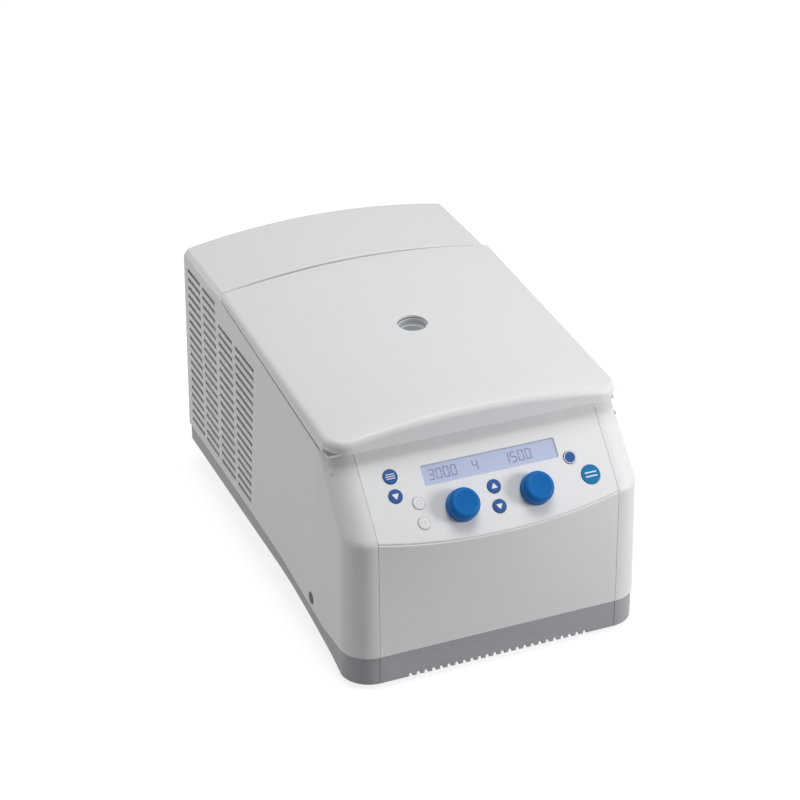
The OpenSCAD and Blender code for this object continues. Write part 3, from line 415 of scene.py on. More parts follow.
# %% [markdown]
# Covers are also lofted: rows of points with the same count are stitched into a skin. The rows
# can follow a plan outline down a rounded shoulder, or run from the base to the lid.

# %% Helper: stitch rows of points
def stitched(rows, closed=True):
    mesh = bmesh.new()
    grid = [[mesh.verts.new(Vector(p) * MM) for p in row] for row in rows]
    count = len(grid[0])
    for low, high in zip(grid, grid[1:]):
        for k in range(count if closed else count - 1):
            n = (k + 1) % count
            mesh.faces.new((low[k], low[n], high[n], high[k]))
    return mesh


def span(start, end, steps):
    return [start + (end - start) * k / steps for k in range(steps)]


print("loft helper ready")

# %% [markdown]
# The lid is one moulded cover. It is crowned across its width, falls gently towards the front,
# and turns down over a small rounded shoulder. The shoulder is made of seven rings that follow
# the plan outline, each one a little further in and higher, as a quarter of an ellipse. The field
# inside the last ring is triangulated, with a round hole for the viewing port.

# %% Lid cover
SHOULDER_HW, LID_REAR, LID_FRONT, LID_REAR_Z, LID_FALL = 187, 157.5, -235, 326.3, 21.6
CROWN_HW, CROWN, GRIP_Y, GRIP_Z = 181.5, 17, -207, 291
SEAM_FRONT_Z, SEAM_SLOPE, LID_GAP, LID_LIFT = 282.4, 33.3 / 364.5, 0.7, 1.7
FRONT_DROP, FRONT_ROLL, REAR_DROP, REAR_ROLL, REAR_HW = 4.5, 26, 2.8, 20, 176
PORT_Y, PORT_R, COVER_WALL = -31, 19, 3
LID_CORNER, LID_REAR_CORNER = 30, 5
LID_ROLL_IN, LID_ROLL_DOWN, LID_REAR_DROP = 5.5, 7, 9.5
ROLL_STEPS = 6
SIDE_STEPS, CORNER_STEPS, REAR_STEPS, REAR_CORNER_STEPS = 30, 14, 34, 4


def seam_z(y):
    return SEAM_FRONT_Z + (y - GRIP_Y) * SEAM_SLOPE


def lid_top(x, y):
    fall = (y - LID_REAR) * LID_FALL / (LID_REAR - LID_FRONT)
    nose = FRONT_DROP * max(0, 1 - (y - LID_FRONT) / FRONT_ROLL) ** 2
    tail = REAR_DROP * max(0, 1 - (LID_REAR - y) / REAR_ROLL) ** 2 * max(0, 1 - (x / REAR_HW) ** 4)
    return LID_REAR_Z + fall + CROWN * (1 - (x / CROWN_HW) ** 2) - nose - tail


def lid_outline(inset):
    hw, rear, front = SHOULDER_HW - inset, LID_REAR - inset, LID_FRONT + inset
    r, s = LID_CORNER - inset, max(LID_REAR_CORNER - inset, 0.6)
    loop = [(-hw, y) for y in span(rear - s, front + r, SIDE_STEPS)]
    loop += [(-hw + r - r * math.cos(a), front + r - r * math.sin(a))
             for a in span(0, math.pi / 2, CORNER_STEPS)]
    loop += [(x, front) for x in span(-hw + r, hw - r, SIDE_STEPS)]
    loop += [(hw - r + r * math.sin(a), front + r - r * math.cos(a))
             for a in span(0, math.pi / 2, CORNER_STEPS)]
    loop += [(hw, y) for y in span(front + r, rear - s, SIDE_STEPS)]
    loop += [(hw - s + s * math.cos(a), rear - s + s * math.sin(a))
             for a in span(0, math.pi / 2, REAR_CORNER_STEPS)]
    loop += [(x, rear) for x in span(hw - s, -hw + s, REAR_STEPS)]
    loop += [(-hw + s - s * math.sin(a), rear - s + s * math.cos(a))
             for a in span(0, math.pi / 2, REAR_CORNER_STEPS)]
    return loop


def lid_edge(x, y):
    if y < GRIP_Y + 2:
        return GRIP_Z
    edge = seam_z(y) + LID_LIFT
    return max(edge, lid_top(x, y) - LID_REAR_DROP) if y > LID_REAR - 1 else edge


outer = lid_outline(0)
lid_rows = [[(x, y, lid_edge(x, y)) for x, y in outer]]
for k in range(ROLL_STEPS + 1):
    turn = math.pi / 2 * k / ROLL_STEPS
    ring = lid_outline(LID_ROLL_IN * (1 - math.cos(turn)))
    lid_rows.append([(x, y, lid_top(x, y) - LID_ROLL_DOWN * (1 - math.sin(turn))) for x, y in ring])
support = lid_outline(LID_ROLL_IN + 2)
lid_rows.append([(x, y, lid_top(x, y)) for x, y in support])
port_hole = circle(0, PORT_Y, PORT_R + 0.2)
field = filled(support, [port_hole], spacing=12, lift=lid_top)
lid_mesh = joined(stitched(lid_rows), field)
bmesh.ops.remove_doubles(lid_mesh, verts=lid_mesh.verts, dist=1e-5)
as_piece("lid_cover", lid_mesh, "lid", "cover_white", "lid_shell", wall=COVER_WALL, crease=50)
print("lid cover spans", round(2 * SHOULDER_HW), "by", round(LID_REAR - LID_FRONT), "mm")

# %% [markdown]
# Fingers lift the lid by a grip under its front edge. On the real lid a floor closes the hollow
# there, and a short wall behind it meets the seam. Both are flat, so they are plates.

# %% Grip under the lid's front edge
grip_plan = [(x, y) for x, y in lid_outline(1.2) if y < GRIP_Y + 2]
grip_floor = plate(grip_plan, GRIP_Z, GRIP_Z + COVER_WALL)
grip_wall = plate(rectangle(-SHOULDER_HW + 2, GRIP_Y, SHOULDER_HW - 2, GRIP_Y + COVER_WALL),
                  seam_z(GRIP_Y) + LID_GAP, GRIP_Z + 1)
as_piece("lid_grip", joined(grip_floor, grip_wall), "lid", "cover_white", bevel=0.5)
print("grip floor at", GRIP_Z, "mm")

# %% [markdown]
# The viewing port is a turned ring in the lid's hole, with a rounded lip, a step that holds the
# pane, and a slightly domed pane. Through it a reader could check the rotor's speed.

# %% Viewing port
lining_low, port_top = (c.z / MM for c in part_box("port_ring"))
pane_low, pane_high = (c.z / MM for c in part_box("port_glass"))
ring_profile = [(14.5, lining_low), (18.8, lining_low), (18.9, port_top - 1.2), (18.4, port_top - 0.3),
                (17.8, port_top), (17.2, port_top - 0.4), (17, port_top - 1.4), (17, pane_low),
                (14.5, pane_low - 0.6), (14.5, lining_low)]
as_piece("port_collar", turned(ring_profile, at(0, PORT_Y, 0)), "lid", "liner_grey", "port_ring")
pane_profile = [(0, pane_low), (16.6, pane_low), (16.7, pane_low + 0.4), (16.7, pane_high - 0.5),
                (16.2, pane_high), (8, pane_high + 0.25), (0, pane_high + 0.3)]
as_piece("port_pane", turned(pane_profile, at(0, PORT_Y, 0)), "lid", "clear_glass", "port_glass")
print("port pane is", round(pane_high - pane_low, 1), "mm thick")

# %% [markdown]
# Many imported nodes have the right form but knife-sharp edges, which no moulded or milled part
# has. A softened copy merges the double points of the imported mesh, joins its flat triangles, and
# rounds the edges with a bevel modifier, so each edge catches a thin line of light.

# %% Helper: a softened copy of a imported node
def welded(node):
    mesh = bmesh.new()
    mesh.from_mesh(frame["nodes"][node].data)
    bmesh.ops.remove_doubles(mesh, verts=mesh.verts, dist=1e-5)
    bmesh.ops.dissolve_limit(mesh, angle_limit=math.radians(0.2), verts=mesh.verts, edges=mesh.edges)
    return mesh


def softened(name, node, radius, crease=32):
    return as_piece(name, welded(node), body_of_node[node], slot_of[node], node,
                    bevel=radius, crease=crease)


print("softening helper ready")

# %% [markdown]
# The main cover carries the vented sides and the hood. Its rear four fifths are a copy of
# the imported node, cut off behind the front corners. The edges along the hood's shoulders and ends
# are picked by where they lie and rounded with a wider bevel than a modifier could give beside
# the narrow vent slots.

# %% Main cover with the hood and the vents
CUT_Y = -185
HOOD_FRONT, REAR_Y, HOOD_Z, HOOD_DROP = 162.5, 309, 322.5, 9
HOOD_ROUND, LONG_EDGE, CLOSE = 2.8, 100, 0.6
cover = welded("main_housing")
bmesh.ops.bisect_plane(cover, geom=cover.verts[:] + cover.edges[:] + cover.faces[:], dist=1e-7,
                       plane_co=(0, CUT_Y * MM, 0), plane_no=(0, 1, 0), clear_inner=True)


def on_hood_line(edge):
    a, b = (v.co / MM for v in edge.verts)
    if len(edge.link_faces) != 2 or min(a.z, b.z) < HOOD_Z - HOOD_DROP - 1:
        return False
    if edge.calc_face_angle(0) < math.radians(20):
        return False
    along = abs(a.y - b.y) > LONG_EDGE and min(abs(a.x), abs(b.x)) > CROWN_HW - CLOSE
    end = any(max(abs(a.y - y), abs(b.y - y)) < 0.1 for y in (REAR_Y, HOOD_FRONT))
    crowned = all(c.z > HOOD_Z - 0.5 + CROWN * (1 - (c.x / CROWN_HW) ** 2) - CLOSE
                  or abs(c.x) > CROWN_HW for c in (a, b))
    return along or (end and crowned)


hood_lines = [e for e in cover.edges if on_hood_line(e)]
bmesh.ops.bevel(cover, geom=hood_lines, offset=HOOD_ROUND * MM, segments=4, profile=0.5,
                affect="EDGES", clamp_overlap=False)
as_piece("main_cover", cover, "root", "cover_white", "main_housing", crease=38)
print("rounded", len(hood_lines), "edges of the hood")

# %% [markdown]
# The front corners are the softest forms of the instrument: an upright corner of large radius
# runs up into the slope of the control panel without an edge. They are lofted from the base to
# the lid. Each row is the plan outline at its height, and above the fold the front of that
# outline moves back with the slope, with a short curve at the fold itself.

# %% Front corners
SLOPE = math.radians(47.1)
FRONT_Y, PANEL_Z, PANEL_TOP_Z = -297.768, 202, 284.78
SKIRT_Z, DRAFT, BODY_HW, SEAM_X = 46, 5 / 267.5, 192, 154.6
FOLD_SOFT = 5
SKIRT_DIP, DIP_Y, DIP_RUN = 4, -255, 50
SKIRT_RISE, RISE_Y, RISE_RUN = 15, -205, 145
SLANT_BELOW, SLANT_ABOVE = 60, 0.97


def half_width(z):
    return BODY_HW - DRAFT * (z - SKIRT_Z)


def slope_y(z):
    """Front of the body at a height, with a short curve where the slope starts."""
    rise = z - PANEL_Z
    if rise <= -FOLD_SOFT:
        return FRONT_Y
    if rise < FOLD_SOFT:
        return FRONT_Y + (rise + FOLD_SOFT) ** 2 / (4 * FOLD_SOFT) / math.tan(SLOPE)
    return FRONT_Y + rise / math.tan(SLOPE)


def skirt_z(y):
    """Lower edge of the covers: it dips behind the corner, then rises to the rear."""
    dip = SKIRT_DIP * min(1, max(0, (y - DIP_Y) / DIP_RUN))
    return SKIRT_Z - dip + SKIRT_RISE * max(0, (y - RISE_Y) / RISE_RUN)


def corner_row(z, side):
    hw, front = half_width(z), slope_y(z)
    r = hw - SEAM_X
    start = min(front + r, CUT_Y)
    row = [(-hw, y) for y in span(CUT_Y, start, 8)]
    begin = math.asin(min(1, max(0, (front + r - start) / r)))
    row += [(-hw + r - r * math.cos(a), front + r - r * math.sin(a))
            for a in span(begin, math.pi / 2, 18)]
    row.append((-SEAM_X, front))
    return [(side * x, y) for x, y in row]


corner_heights = span(SKIRT_Z, PANEL_Z - FOLD_SOFT, 12)
corner_heights += span(PANEL_Z - FOLD_SOFT, PANEL_Z + FOLD_SOFT, 8)
corner_heights += span(PANEL_Z + FOLD_SOFT, PANEL_TOP_Z, 16) + [PANEL_TOP_Z]
for side, word in ((1, "left"), (-1, "right")):
    rows = []
    for z in corner_heights:
        share = (z - SKIRT_Z) / (PANEL_TOP_Z - SKIRT_Z)
        row = []
        for x, y in corner_row(z, side):
            low = skirt_z(y)
            high = PANEL_TOP_Z if y < GRIP_Y - 2 else seam_z(y) - LID_GAP
            slanted = z < SLANT_BELOW or share > SLANT_ABOVE
            row.append((x, y, low + share * (high - low) if slanted else z))
        rows.append(row)
    as_piece("front_corner_" + word, stitched(rows, closed=False), "root", "cover_white",
             wall=COVER_WALL, crease=50)
print("front corners follow a radius of", round(BODY_HW - SEAM_X), "mm")

# %% [markdown]
# A narrow ledge joins the two corners above the control panel, under the lid's grip. It closes
# the body where fingers reach in.

# %% Ledge above the panel
ledge_y = slope_y(PANEL_TOP_Z)
ledge_hw = half_width(PANEL_TOP_Z) - COVER_WALL
ledge = plate(rectangle(-ledge_hw, ledge_y + 1.5, ledge_hw, GRIP_Y - 2),
              PANEL_TOP_Z - COVER_WALL, PANEL_TOP_Z)
as_piece("front_ledge", ledge, "root", "cover_white", bevel=0.8)
print("ledge is", round(GRIP_Y - 2 - ledge_y, 1), "mm deep")

# %% [markdown]
# The front cover bulges forward in its middle, most of all at the top, where it meets the curved
# lip of the panel. It is a grid: one direction runs across, the other from the base to the lip.
# Five more rows roll its upper edge back until it meets the lip, so the seam is a soft line.

# %% Front cover
PANEL_SAG, PANEL_T, SEAT = 16.5, 3, 0.3
PANEL_HW = SEAM_X - 0.5
FRONT_HALF_STEPS, FRONT_RISE_STEPS = 24, 14
LIP_OUT = PANEL_SAG * math.cos(SLOPE)
LIP_Z = PANEL_Z - PANEL_SAG * math.sin(SLOPE)


def front_point(s, share):
    lean = LIP_OUT * (1 - s * s) / (LIP_Z - SKIRT_Z)
    drop = (PANEL_T + SEAT) / math.cos(SLOPE)
    top = (PANEL_Z - drop + math.tan(SLOPE) * lean * SKIRT_Z) / (1 + math.tan(SLOPE) * lean)
    z = SKIRT_Z + share * (top - SKIRT_Z)
    return (s * PANEL_HW, FRONT_Y - lean * (z - SKIRT_Z), z)


BROW = [(0, 1.2), (0, 2.2), (0.25, 2.95), (0.8, 3.45), (1.6, 3.7)]
FRONT_WALL = 1.2
front_rows = [[front_point(k / FRONT_HALF_STEPS - 1, share) for k in range(2 * FRONT_HALF_STEPS + 1)]
              for share in span(0, 1, FRONT_RISE_STEPS) + [1]]
front_top = front_rows[FRONT_RISE_STEPS]
front_rows += [[(x, y + back, z + rise) for x, y, z in front_top] for back, rise in BROW]
as_piece("front_cover", stitched(front_rows, closed=False), "root", "cover_white", "front_panel",
         wall=FRONT_WALL)
print("front cover bulges", round(LIP_OUT, 1), "mm at the lip")

# %% [markdown]
# The control panel is a foil on a moulded plate. Its lower edge is a smile that rolls over a
# small lip. It has round holes for the keys and knobs and a window for the display. It is drawn
# flat, x across and y up the slope, then laid on the slope with one matrix.

# %% Control panel
PANEL = Matrix.Translation(Vector((0, FRONT_Y, PANEL_Z)) * MM) @ Matrix.Rotation(SLOPE, 4, "X")
PANEL_LEN, LIP_IN, LIP_DOWN = 113, 2.6, 2.4
DISPLAY = rectangle(-80, 55.5, 92, 80.5)
KNOB_PLACES, KNOB_U, SPINDLE_HOLE, KEY_GAP = {"left": -43.5, "right": 51.5}, 24, 3.3, 0.35
SMILE_HALF_STEPS = 32
keys = {"lines": (-118.5, 75.5, 9), "ramp": (-118.5, 51.5, 8.5), "white_upper": (-93, 38.2, 8),
        "white_lower": (-93, 13.8, 8), "warmer": (2.2, 38.2, 8.5), "cooler": (2.2, 13.8, 8.5),
        "open": (105, 52.5, 8), "start": (125, 27, 12)}


def smile(inset):
    """The panel's curved lower edge, moved up the slope by an inset."""
    shares = [k / SMILE_HALF_STEPS - 1 for k in range(2 * SMILE_HALF_STEPS + 1)]
    return [(s * PANEL_HW, -PANEL_SAG * (1 - s ** 2) + inset) for s in shares]


lip_rows = [[(x, u, -PANEL_T) for x, u in smile(0)]]
for k in range(ROLL_STEPS + 1):
    turn = math.pi / 2 * k / ROLL_STEPS
    ring = smile(LIP_IN * (1 - math.cos(turn)))
    lip_rows.append([(x, u, -LIP_DOWN * (1 - math.sin(turn))) for x, u in ring])
lip_rows.append([(x, u, 0) for x, u in smile(LIP_IN + 2)])
holes = [circle(x, u, r + KEY_GAP) for x, u, r in keys.values()]
holes += [circle(x, KNOB_U, SPINDLE_HOLE, 24) for x in KNOB_PLACES.values()] + [rounded(DISPLAY, 2)]
sheet_outline = smile(LIP_IN + 2) + [(PANEL_HW, PANEL_LEN), (-PANEL_HW, PANEL_LEN)]
panel_mesh = joined(stitched(lip_rows, closed=False), filled(sheet_outline, holes))
bmesh.ops.remove_doubles(panel_mesh, verts=panel_mesh.verts, dist=1e-5)
panel_mesh.transform(PANEL)
as_piece("panel_sheet", panel_mesh, "root", "panel_foil", "control_panel", wall=PANEL_T - 0.6, crease=45)
print("panel has", len(holes), "openings")

# %% [markdown]
# The knobs are turned: a skirt, a nearly straight grip, a soft shoulder and a dished face with a
# fine raised rim, so a fingertip finds the middle. Each has its spindle, which turns in the
# encoder behind the panel.

# %% Knobs
knob_profile = [(0, 0.6), (18.4, 0.6), (19.5, 1), (20, 2), (20, 3), (19.7, 4), (19.3, 12.4), (19, 14),
                (18.3, 15.5), (17.2, 16.6), (15.8, 17.4), (14.4, 17.9), (13.6, 17.8), (13, 17.5),
                (6, 17.2), (0, 17.1)]
spindle_profile = [(0, -16.4), (2.6, -16.4), (3, -16), (3, 1), (0, 1)]
for word, x in KNOB_PLACES.items():
    spot = PANEL @ at(x, KNOB_U, 0)
    as_piece("dial_" + word, joined(turned(knob_profile, spot, 96), turned(spindle_profile, spot, 32)),
             "knob_" + word, "knob_blue", "knob_" + word, crease=40)
print("knobs stand", max(height for _, height in knob_profile), "mm proud")

# %% [markdown]
# The keys are round caps with a slightly domed, rounded face. Their signs are thin inlays: bars,
# triangles and rings. Triangles mean up and down, bars stand for a printed word that is left
# out. Every inlay rides on its key, so it moves when the key is pressed.

# %% Keys and their signs
KEY_TOP, INLAY = 1.2, 0.14
key_slots = {"white_upper": "button_white", "white_lower": "button_white", "start": "button_light_blue"}


def cap_profile(r):
    return [(0, -6), (r - 0.3, -6), (r, -5.7), (r, -3.4), (r, 0.5), (r - 0.25, 0.95), (r - 0.8, KEY_TOP),
            (r * 0.5, KEY_TOP + 0.08), (0, KEY_TOP + 0.1)]


def key_skirt(r):
    return [(r - 0.5, -5), (r + 1.4, -5), (r + 1.4, -3.3), (r - 0.5, -3.3), (r - 0.5, -5)]


def triangle(r, point_up):
    sign = 1 if point_up else -1
    corners = [(-r, -0.62 * r * sign), (r, -0.62 * r * sign), (0, r * sign)]
    return rounded(corners if point_up else corners[::-1], r * 0.35)


def bar(x0, x1, u, thick=1.0):
    return rounded(rectangle(x0, u - thick / 2, x1, u + thick / 2), thick * 0.45, 4)


def ring_sign(inner, outer_radius):
    return circle(0, 0, outer_radius), [circle(0, 0, inner)]


signs = {"lines": [(bar(-5.5, 5.5, 2.6), []), (bar(-6.2, 6.2, 0), []), (bar(-5.5, 5.5, -2.6), [])],
         "ramp": [(triangle(4.6, False), [])], "warmer": [(triangle(4.2, True), [])],
         "cooler": [(triangle(4.2, False), [])], "open": [ring_sign(6.6, 7.5)],
         "start": [(bar(-7.5, 7.5, 2.4, 1.5), []), (bar(-7.5, 7.5, -2.4, 1.5), [])],
         "white_upper": [ring_sign(6.3, 7.1), ring_sign(2.6, 3.3)],
         "white_lower": [ring_sign(6.3, 7.1), (bar(-3, 3, 1.2, 0.8), []), (bar(-3, 3, -1.2, 0.8), [])]}
for key, (x, u, r) in keys.items():
    node, spot = "button_" + key, PANEL @ at(x, u, 0)
    slot = key_slots.get(key, "button_blue")
    as_piece("cap_" + key, joined(turned(cap_profile(r), spot, 48), turned(key_skirt(r), spot, 48)),
             node, slot, node, crease=40)
    inlay = joined(*[plate(shape, KEY_TOP - 0.2, KEY_TOP + INLAY, cut) for shape, cut in signs[key]])
    inlay.transform(spot)
    as_piece("sign_" + key, inlay, node, "liner_grey" if "white" in key else "button_white")
print(len(keys), "keys with signs")

# %% [markdown]
# Each key sits in a thin printed ring on the foil. A ring that stands a hair proud of the panel
# reads as print and gives every key a crisp border.

# %% Printed rings and the display's frame
RING_IN, RING_OUT, RING_LOW, RING_HIGH = 0.5, 1.5, -0.05, 0.08
rings = joined(*[plate(circle(x, u, r + RING_OUT), RING_LOW, RING_HIGH, [circle(x, u, r + RING_IN)])
                 for x, u, r in keys.values()])
rings.transform(PANEL)
as_piece("key_borders", rings, "root", "button_white")
PANE, PANE_LOW, PANE_HIGH = rectangle(-79.7, 55.8, 91.7, 80.2), -1.2, -0.25
window = plate(rounded(PANE, 1.8), PANE_LOW, PANE_HIGH)
window.transform(PANEL)
as_piece("display_pane", window, "root", "clear_glass", "display_window")
print("display pane laid in")

# %% [markdown]
# The base is a grey tray that shows as a band under the covers, with a row of air notches along
# its front edge. Two fine lines continue the upright seams of the front.

# %% Base and its seams
softened("base_band", "base_tray", 0.7)
BASE_FRONT = FRONT_Y + 1.5
SEAM_HALF, SEAM_LOW, SEAM_HIGH = 0.35, 9, 45.6
strips = [plate(rectangle(s * SEAM_X - SEAM_HALF, BASE_FRONT - 0.12,
                          s * SEAM_X + SEAM_HALF, BASE_FRONT + 0.4), SEAM_LOW, SEAM_HIGH)
          for s in (-1, 1)]
as_piece("base_seams", joined(*strips), "root", "rubber_grey")
print("base band softened")

# %% [markdown]
# Rubber feet are turned, with a rounded foot and two grip grooves, and one screw each. The four
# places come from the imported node's box.

# %% Feet and their screws
foot_low, foot_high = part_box("rubber_feet")
FOOT_R, FOOT_H = 14, foot_high.z / MM
foot_places = [(x * (foot_high.x / MM - FOOT_R), y) for x in (-1, 1)
               for y in (foot_low.y / MM + FOOT_R, foot_high.y / MM - FOOT_R)]
foot_profile = [(5.4, 0.2), (8, 0), (12, 0), (13.4, 0.6), (14, 2), (13.5, 3), (14, 4), (13.5, 5), (14, 6),
                (14, FOOT_H), (2.7, FOOT_H), (2.7, 3), (5.4, 3), (5.4, 0.2)]
screw_profile = [(0, 1.6), (1.6, 1.6), (1.7, 0.9), (4.3, 0.9), (4.9, 1.4), (5, 3), (2.5, 3.1),
                 (2.5, 42), (0, 42)]
as_piece("bench_feet", joined(*[turned(foot_profile, at(x, y, 0), 48) for x, y in foot_places]),
         "root", "rubber_black", "rubber_feet")
as_piece("foot_bolts", joined(*[turned(screw_profile, at(x, y, 0), 24) for x, y in foot_places]),
         "root", "steel_bare", "foot_screws")
print(len(foot_places), "feet")

# %% [markdown]
# The steel bowl is spun from one sheet: a flat floor, a generous corner, a straight wall and a
# rolled rim. The drive shaft comes up through its middle. A soft seal stands on the deck
# round it and meets the lid's lining.

# %% Chamber bowl and lid seal
bowl_profile = [(16.1, 134), (24, 134), (136, 134), (142, 135.2), (147, 138.6), (149.4, 143), (150, 149),
                (150, 256), (150.4, 259.5), (151.8, 261.6), (154, 262.2), (157.6, 262.2), (158, 262.8),
                (157.6, 263.4), (153, 263.4), (151.5, 262.8), (151.5, 149), (150.8, 142), (147.6, 136.8),
                (142, 133.4), (136, 132.6), (16.1, 132.6), (16.1, 134)]
as_piece("spun_bowl", turned(bowl_profile, at(0, PORT_Y, 0), 144), "root", "steel_bowl", "chamber_bowl")
seal_low, seal_high = (c.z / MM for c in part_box("lid_seal"))
seal_profile = [(153.6, seal_low), (153.8, seal_low + 2), (153.7, seal_high - 1.6), (154.8, seal_high - 0.4),
                (156.2, seal_high), (157.6, seal_high - 0.4), (158.8, seal_high - 1.6), (158.6, seal_low + 2),
                (158.9, seal_low), (153.6, seal_low)]
as_piece("rim_seal", turned(seal_profile, at(0, PORT_Y, 0), 144), "root", "rubber_grey", "lid_seal")
print("bowl is", 2 * min(r for r, height in bowl_profile if height > 200), "mm across inside")

# %% [markdown]
# The swing-out rotor is milled from aluminium. Its yoke and the two plate buckets keep their
# packed form with rounded edges. The nut that holds them is turned, with a fluted grip.

# %% Rotor, buckets and nut
softened("milled_yoke", "rotor_yoke", 1.2)
for word in ("left", "right"):
    softened("plate_bucket_" + word, "bucket_" + word, 0.8)
nut_low, nut_high = (c.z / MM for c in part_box("rotor_nut"))
nut_grip = [(8.1, nut_low), (14.2, nut_low), (15, nut_low + 0.8), (15, nut_low + 8.2), (14.2, nut_low + 9),
            (8.1, nut_low + 9), (8.1, nut_low)]
nut_cap = [(0, nut_low + 8), (12.4, nut_low + 8), (12, nut_low + 9.2), (9.6, nut_high - 0.8),
           (8.6, nut_high), (0, nut_high)]
spot = at(0, PORT_Y, 0)
nut = joined(turned(nut_grip, spot, 96, flutes=16, flute_depth=0.9), turned(nut_cap, spot, 96))
as_piece("grip_nut", nut, "rotor", "rotor_metal", "rotor_nut")
print("rotor dressed")

# %% [markdown]
# The lid's lining, the deck round the bowl, the hinge arms and the latch are sheet and bar
# parts. They only need softened edges, so one loop does them all.

# %% Softened sheet and bar parts
soft_parts = {"lid_liner": 1.0, "deck_plate": 0.5, "hinge_arms": 0.8, "latch_hooks": 0.5, "latch_bolt": 0.4,
              "rear_panel": 0.35, "power_inlet": 0.5, "fan_frame": 0.8, "release_plug": 0.7}
for node, radius in soft_parts.items():
    softened("soft_" + node, node, radius)
print(len(soft_parts), "parts softened")

# %% [markdown]
# Torsion springs on the hinge shaft balance the lid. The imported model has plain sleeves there.
# A coil is a curve: points on a helix with a round bevel, which stays light and smooth.

# %% Hinge springs
HINGE_Y, HINGE_Z, SPRING_R, WIRE_R, TURNS = 220, 295, 7.2, 1.3, 13
SPRING_X, SPRING_LENGTH, TURN_STEPS = 118, 36, 24


def wire(name, points, radius, body, slot, *stands_for):
    curve = bpy.data.curves.new(name, "CURVE")
    curve.dimensions, curve.bevel_depth, curve.bevel_resolution = "3D", radius * MM, 4
    curve.use_fill_caps = True
    line = curve.splines.new("POLY")
    line.points.add(len(points) - 1)
    for spot, point in zip(line.points, points):
        spot.co = (*(c * MM for c in point), 1)
    curve.materials.append(finishes[slot])
    piece = placed(name, curve)
    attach(piece, body)
    if stands_for:
        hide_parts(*stands_for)
    return piece


for side, word in ((-1, "left"), (1, "right")):
    coil = []
    for k in range(TURNS * TURN_STEPS + 1):
        angle = 2 * math.pi * k / TURN_STEPS
        along = SPRING_X + SPRING_LENGTH * k / (TURNS * TURN_STEPS)
        coil.append((side * along, HINGE_Y + SPRING_R * math.cos(angle),
                     HINGE_Z + SPRING_R * math.sin(angle)))
    wire("hinge_spring_" + word, coil, WIRE_R, "root", "steel_bare", "hinge_springs")
print("springs have", TURNS, "turns each")

# %% [markdown]
# The compressor is a pressed steel pot with a domed top and a weld seam round its waist. It
# stands on four feet. The pipes leave it in smooth bends, drawn as curves whose corners are
# rounded.

# %% Compressor and pipes
pot_low, pot_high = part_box("compressor")
pot_x, pot_y = ((pot_low.x + pot_high.x) / 2 / MM, (pot_low.y + pot_high.y) / 2 / MM)
base_z, top_z = pot_low.z / MM, pot_high.z / MM
POT_R, POT_FOOT_R = 57, 44
pot_profile = [(0, base_z + 10), (46, base_z + 10), (54, base_z + 14), (POT_R, base_z + 22),
               (POT_R, base_z + 66), (POT_R + 1, base_z + 68), (POT_R + 1, base_z + 73),
               (POT_R, base_z + 75), (POT_R, top_z - 26), (53, top_z - 12),
               (44, top_z - 4), (30, top_z - 0.8), (0, top_z)]
foot_pad = [(0, base_z), (7, base_z), (8, base_z + 1), (8, base_z + 9), (6, base_z + 12), (0, base_z + 12)]
pot_feet = [turned(foot_pad, at(pot_x + POT_FOOT_R * math.cos(a), pot_y + POT_FOOT_R * math.sin(a), 0), 24)
            for a in (math.pi / 4 * k for k in (1, 3, 5, 7))]
as_piece("compressor_pot", joined(turned(pot_profile, at(pot_x, pot_y, 0), 96), *pot_feet),
         "root", "compressor_black", "compressor")


def bent(points, radius=14, steps=8):
    """A path with its inner corners rounded."""
    path = [Vector(points[0])]
    for before, corner, after in zip(points, points[1:], points[2:]):
        corner = Vector(corner)
        start = corner + (Vector(before) - corner).normalized() * radius
        end = corner + (Vector(after) - corner).normalized() * radius
        path += [start * (1 - t) ** 2 + corner * 2 * t * (1 - t) + end * t ** 2
                 for t in (k / steps for k in range(steps + 1))]
    return path + [Vector(points[-1])]


pipe_low, pipe_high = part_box("refrigerant_pipes")
PIPE_R, PIPE_Z, PIPE_END_Z, PIPE_BEND, SUCTION_Z, FIN_X = 4, 237, 222, 12, 150, -151
hot_gas = [(pot_x, pot_y, top_z - 1), (pot_x, pot_y, PIPE_Z), (FIN_X, pot_y, PIPE_Z),
           (FIN_X, pot_y, PIPE_END_Z)]
wire("hot_gas_pipe", bent(hot_gas, PIPE_BEND), PIPE_R, "root", "copper_pipe", "refrigerant_pipes")
suction = [(pot_x, pipe_low.y / MM, SUCTION_Z), (pot_x, pot_y - POT_R, SUCTION_Z)]
wire("suction_pipe", suction, PIPE_R, "root", "copper_pipe")
print("compressor is", round(top_z - base_z), "mm tall")

# %% [markdown]
# A fan blade is a curved sheet that twists from hub to tip. Each is a small grid of points,
# given its thickness, and seven of them stand round a rounded hub.

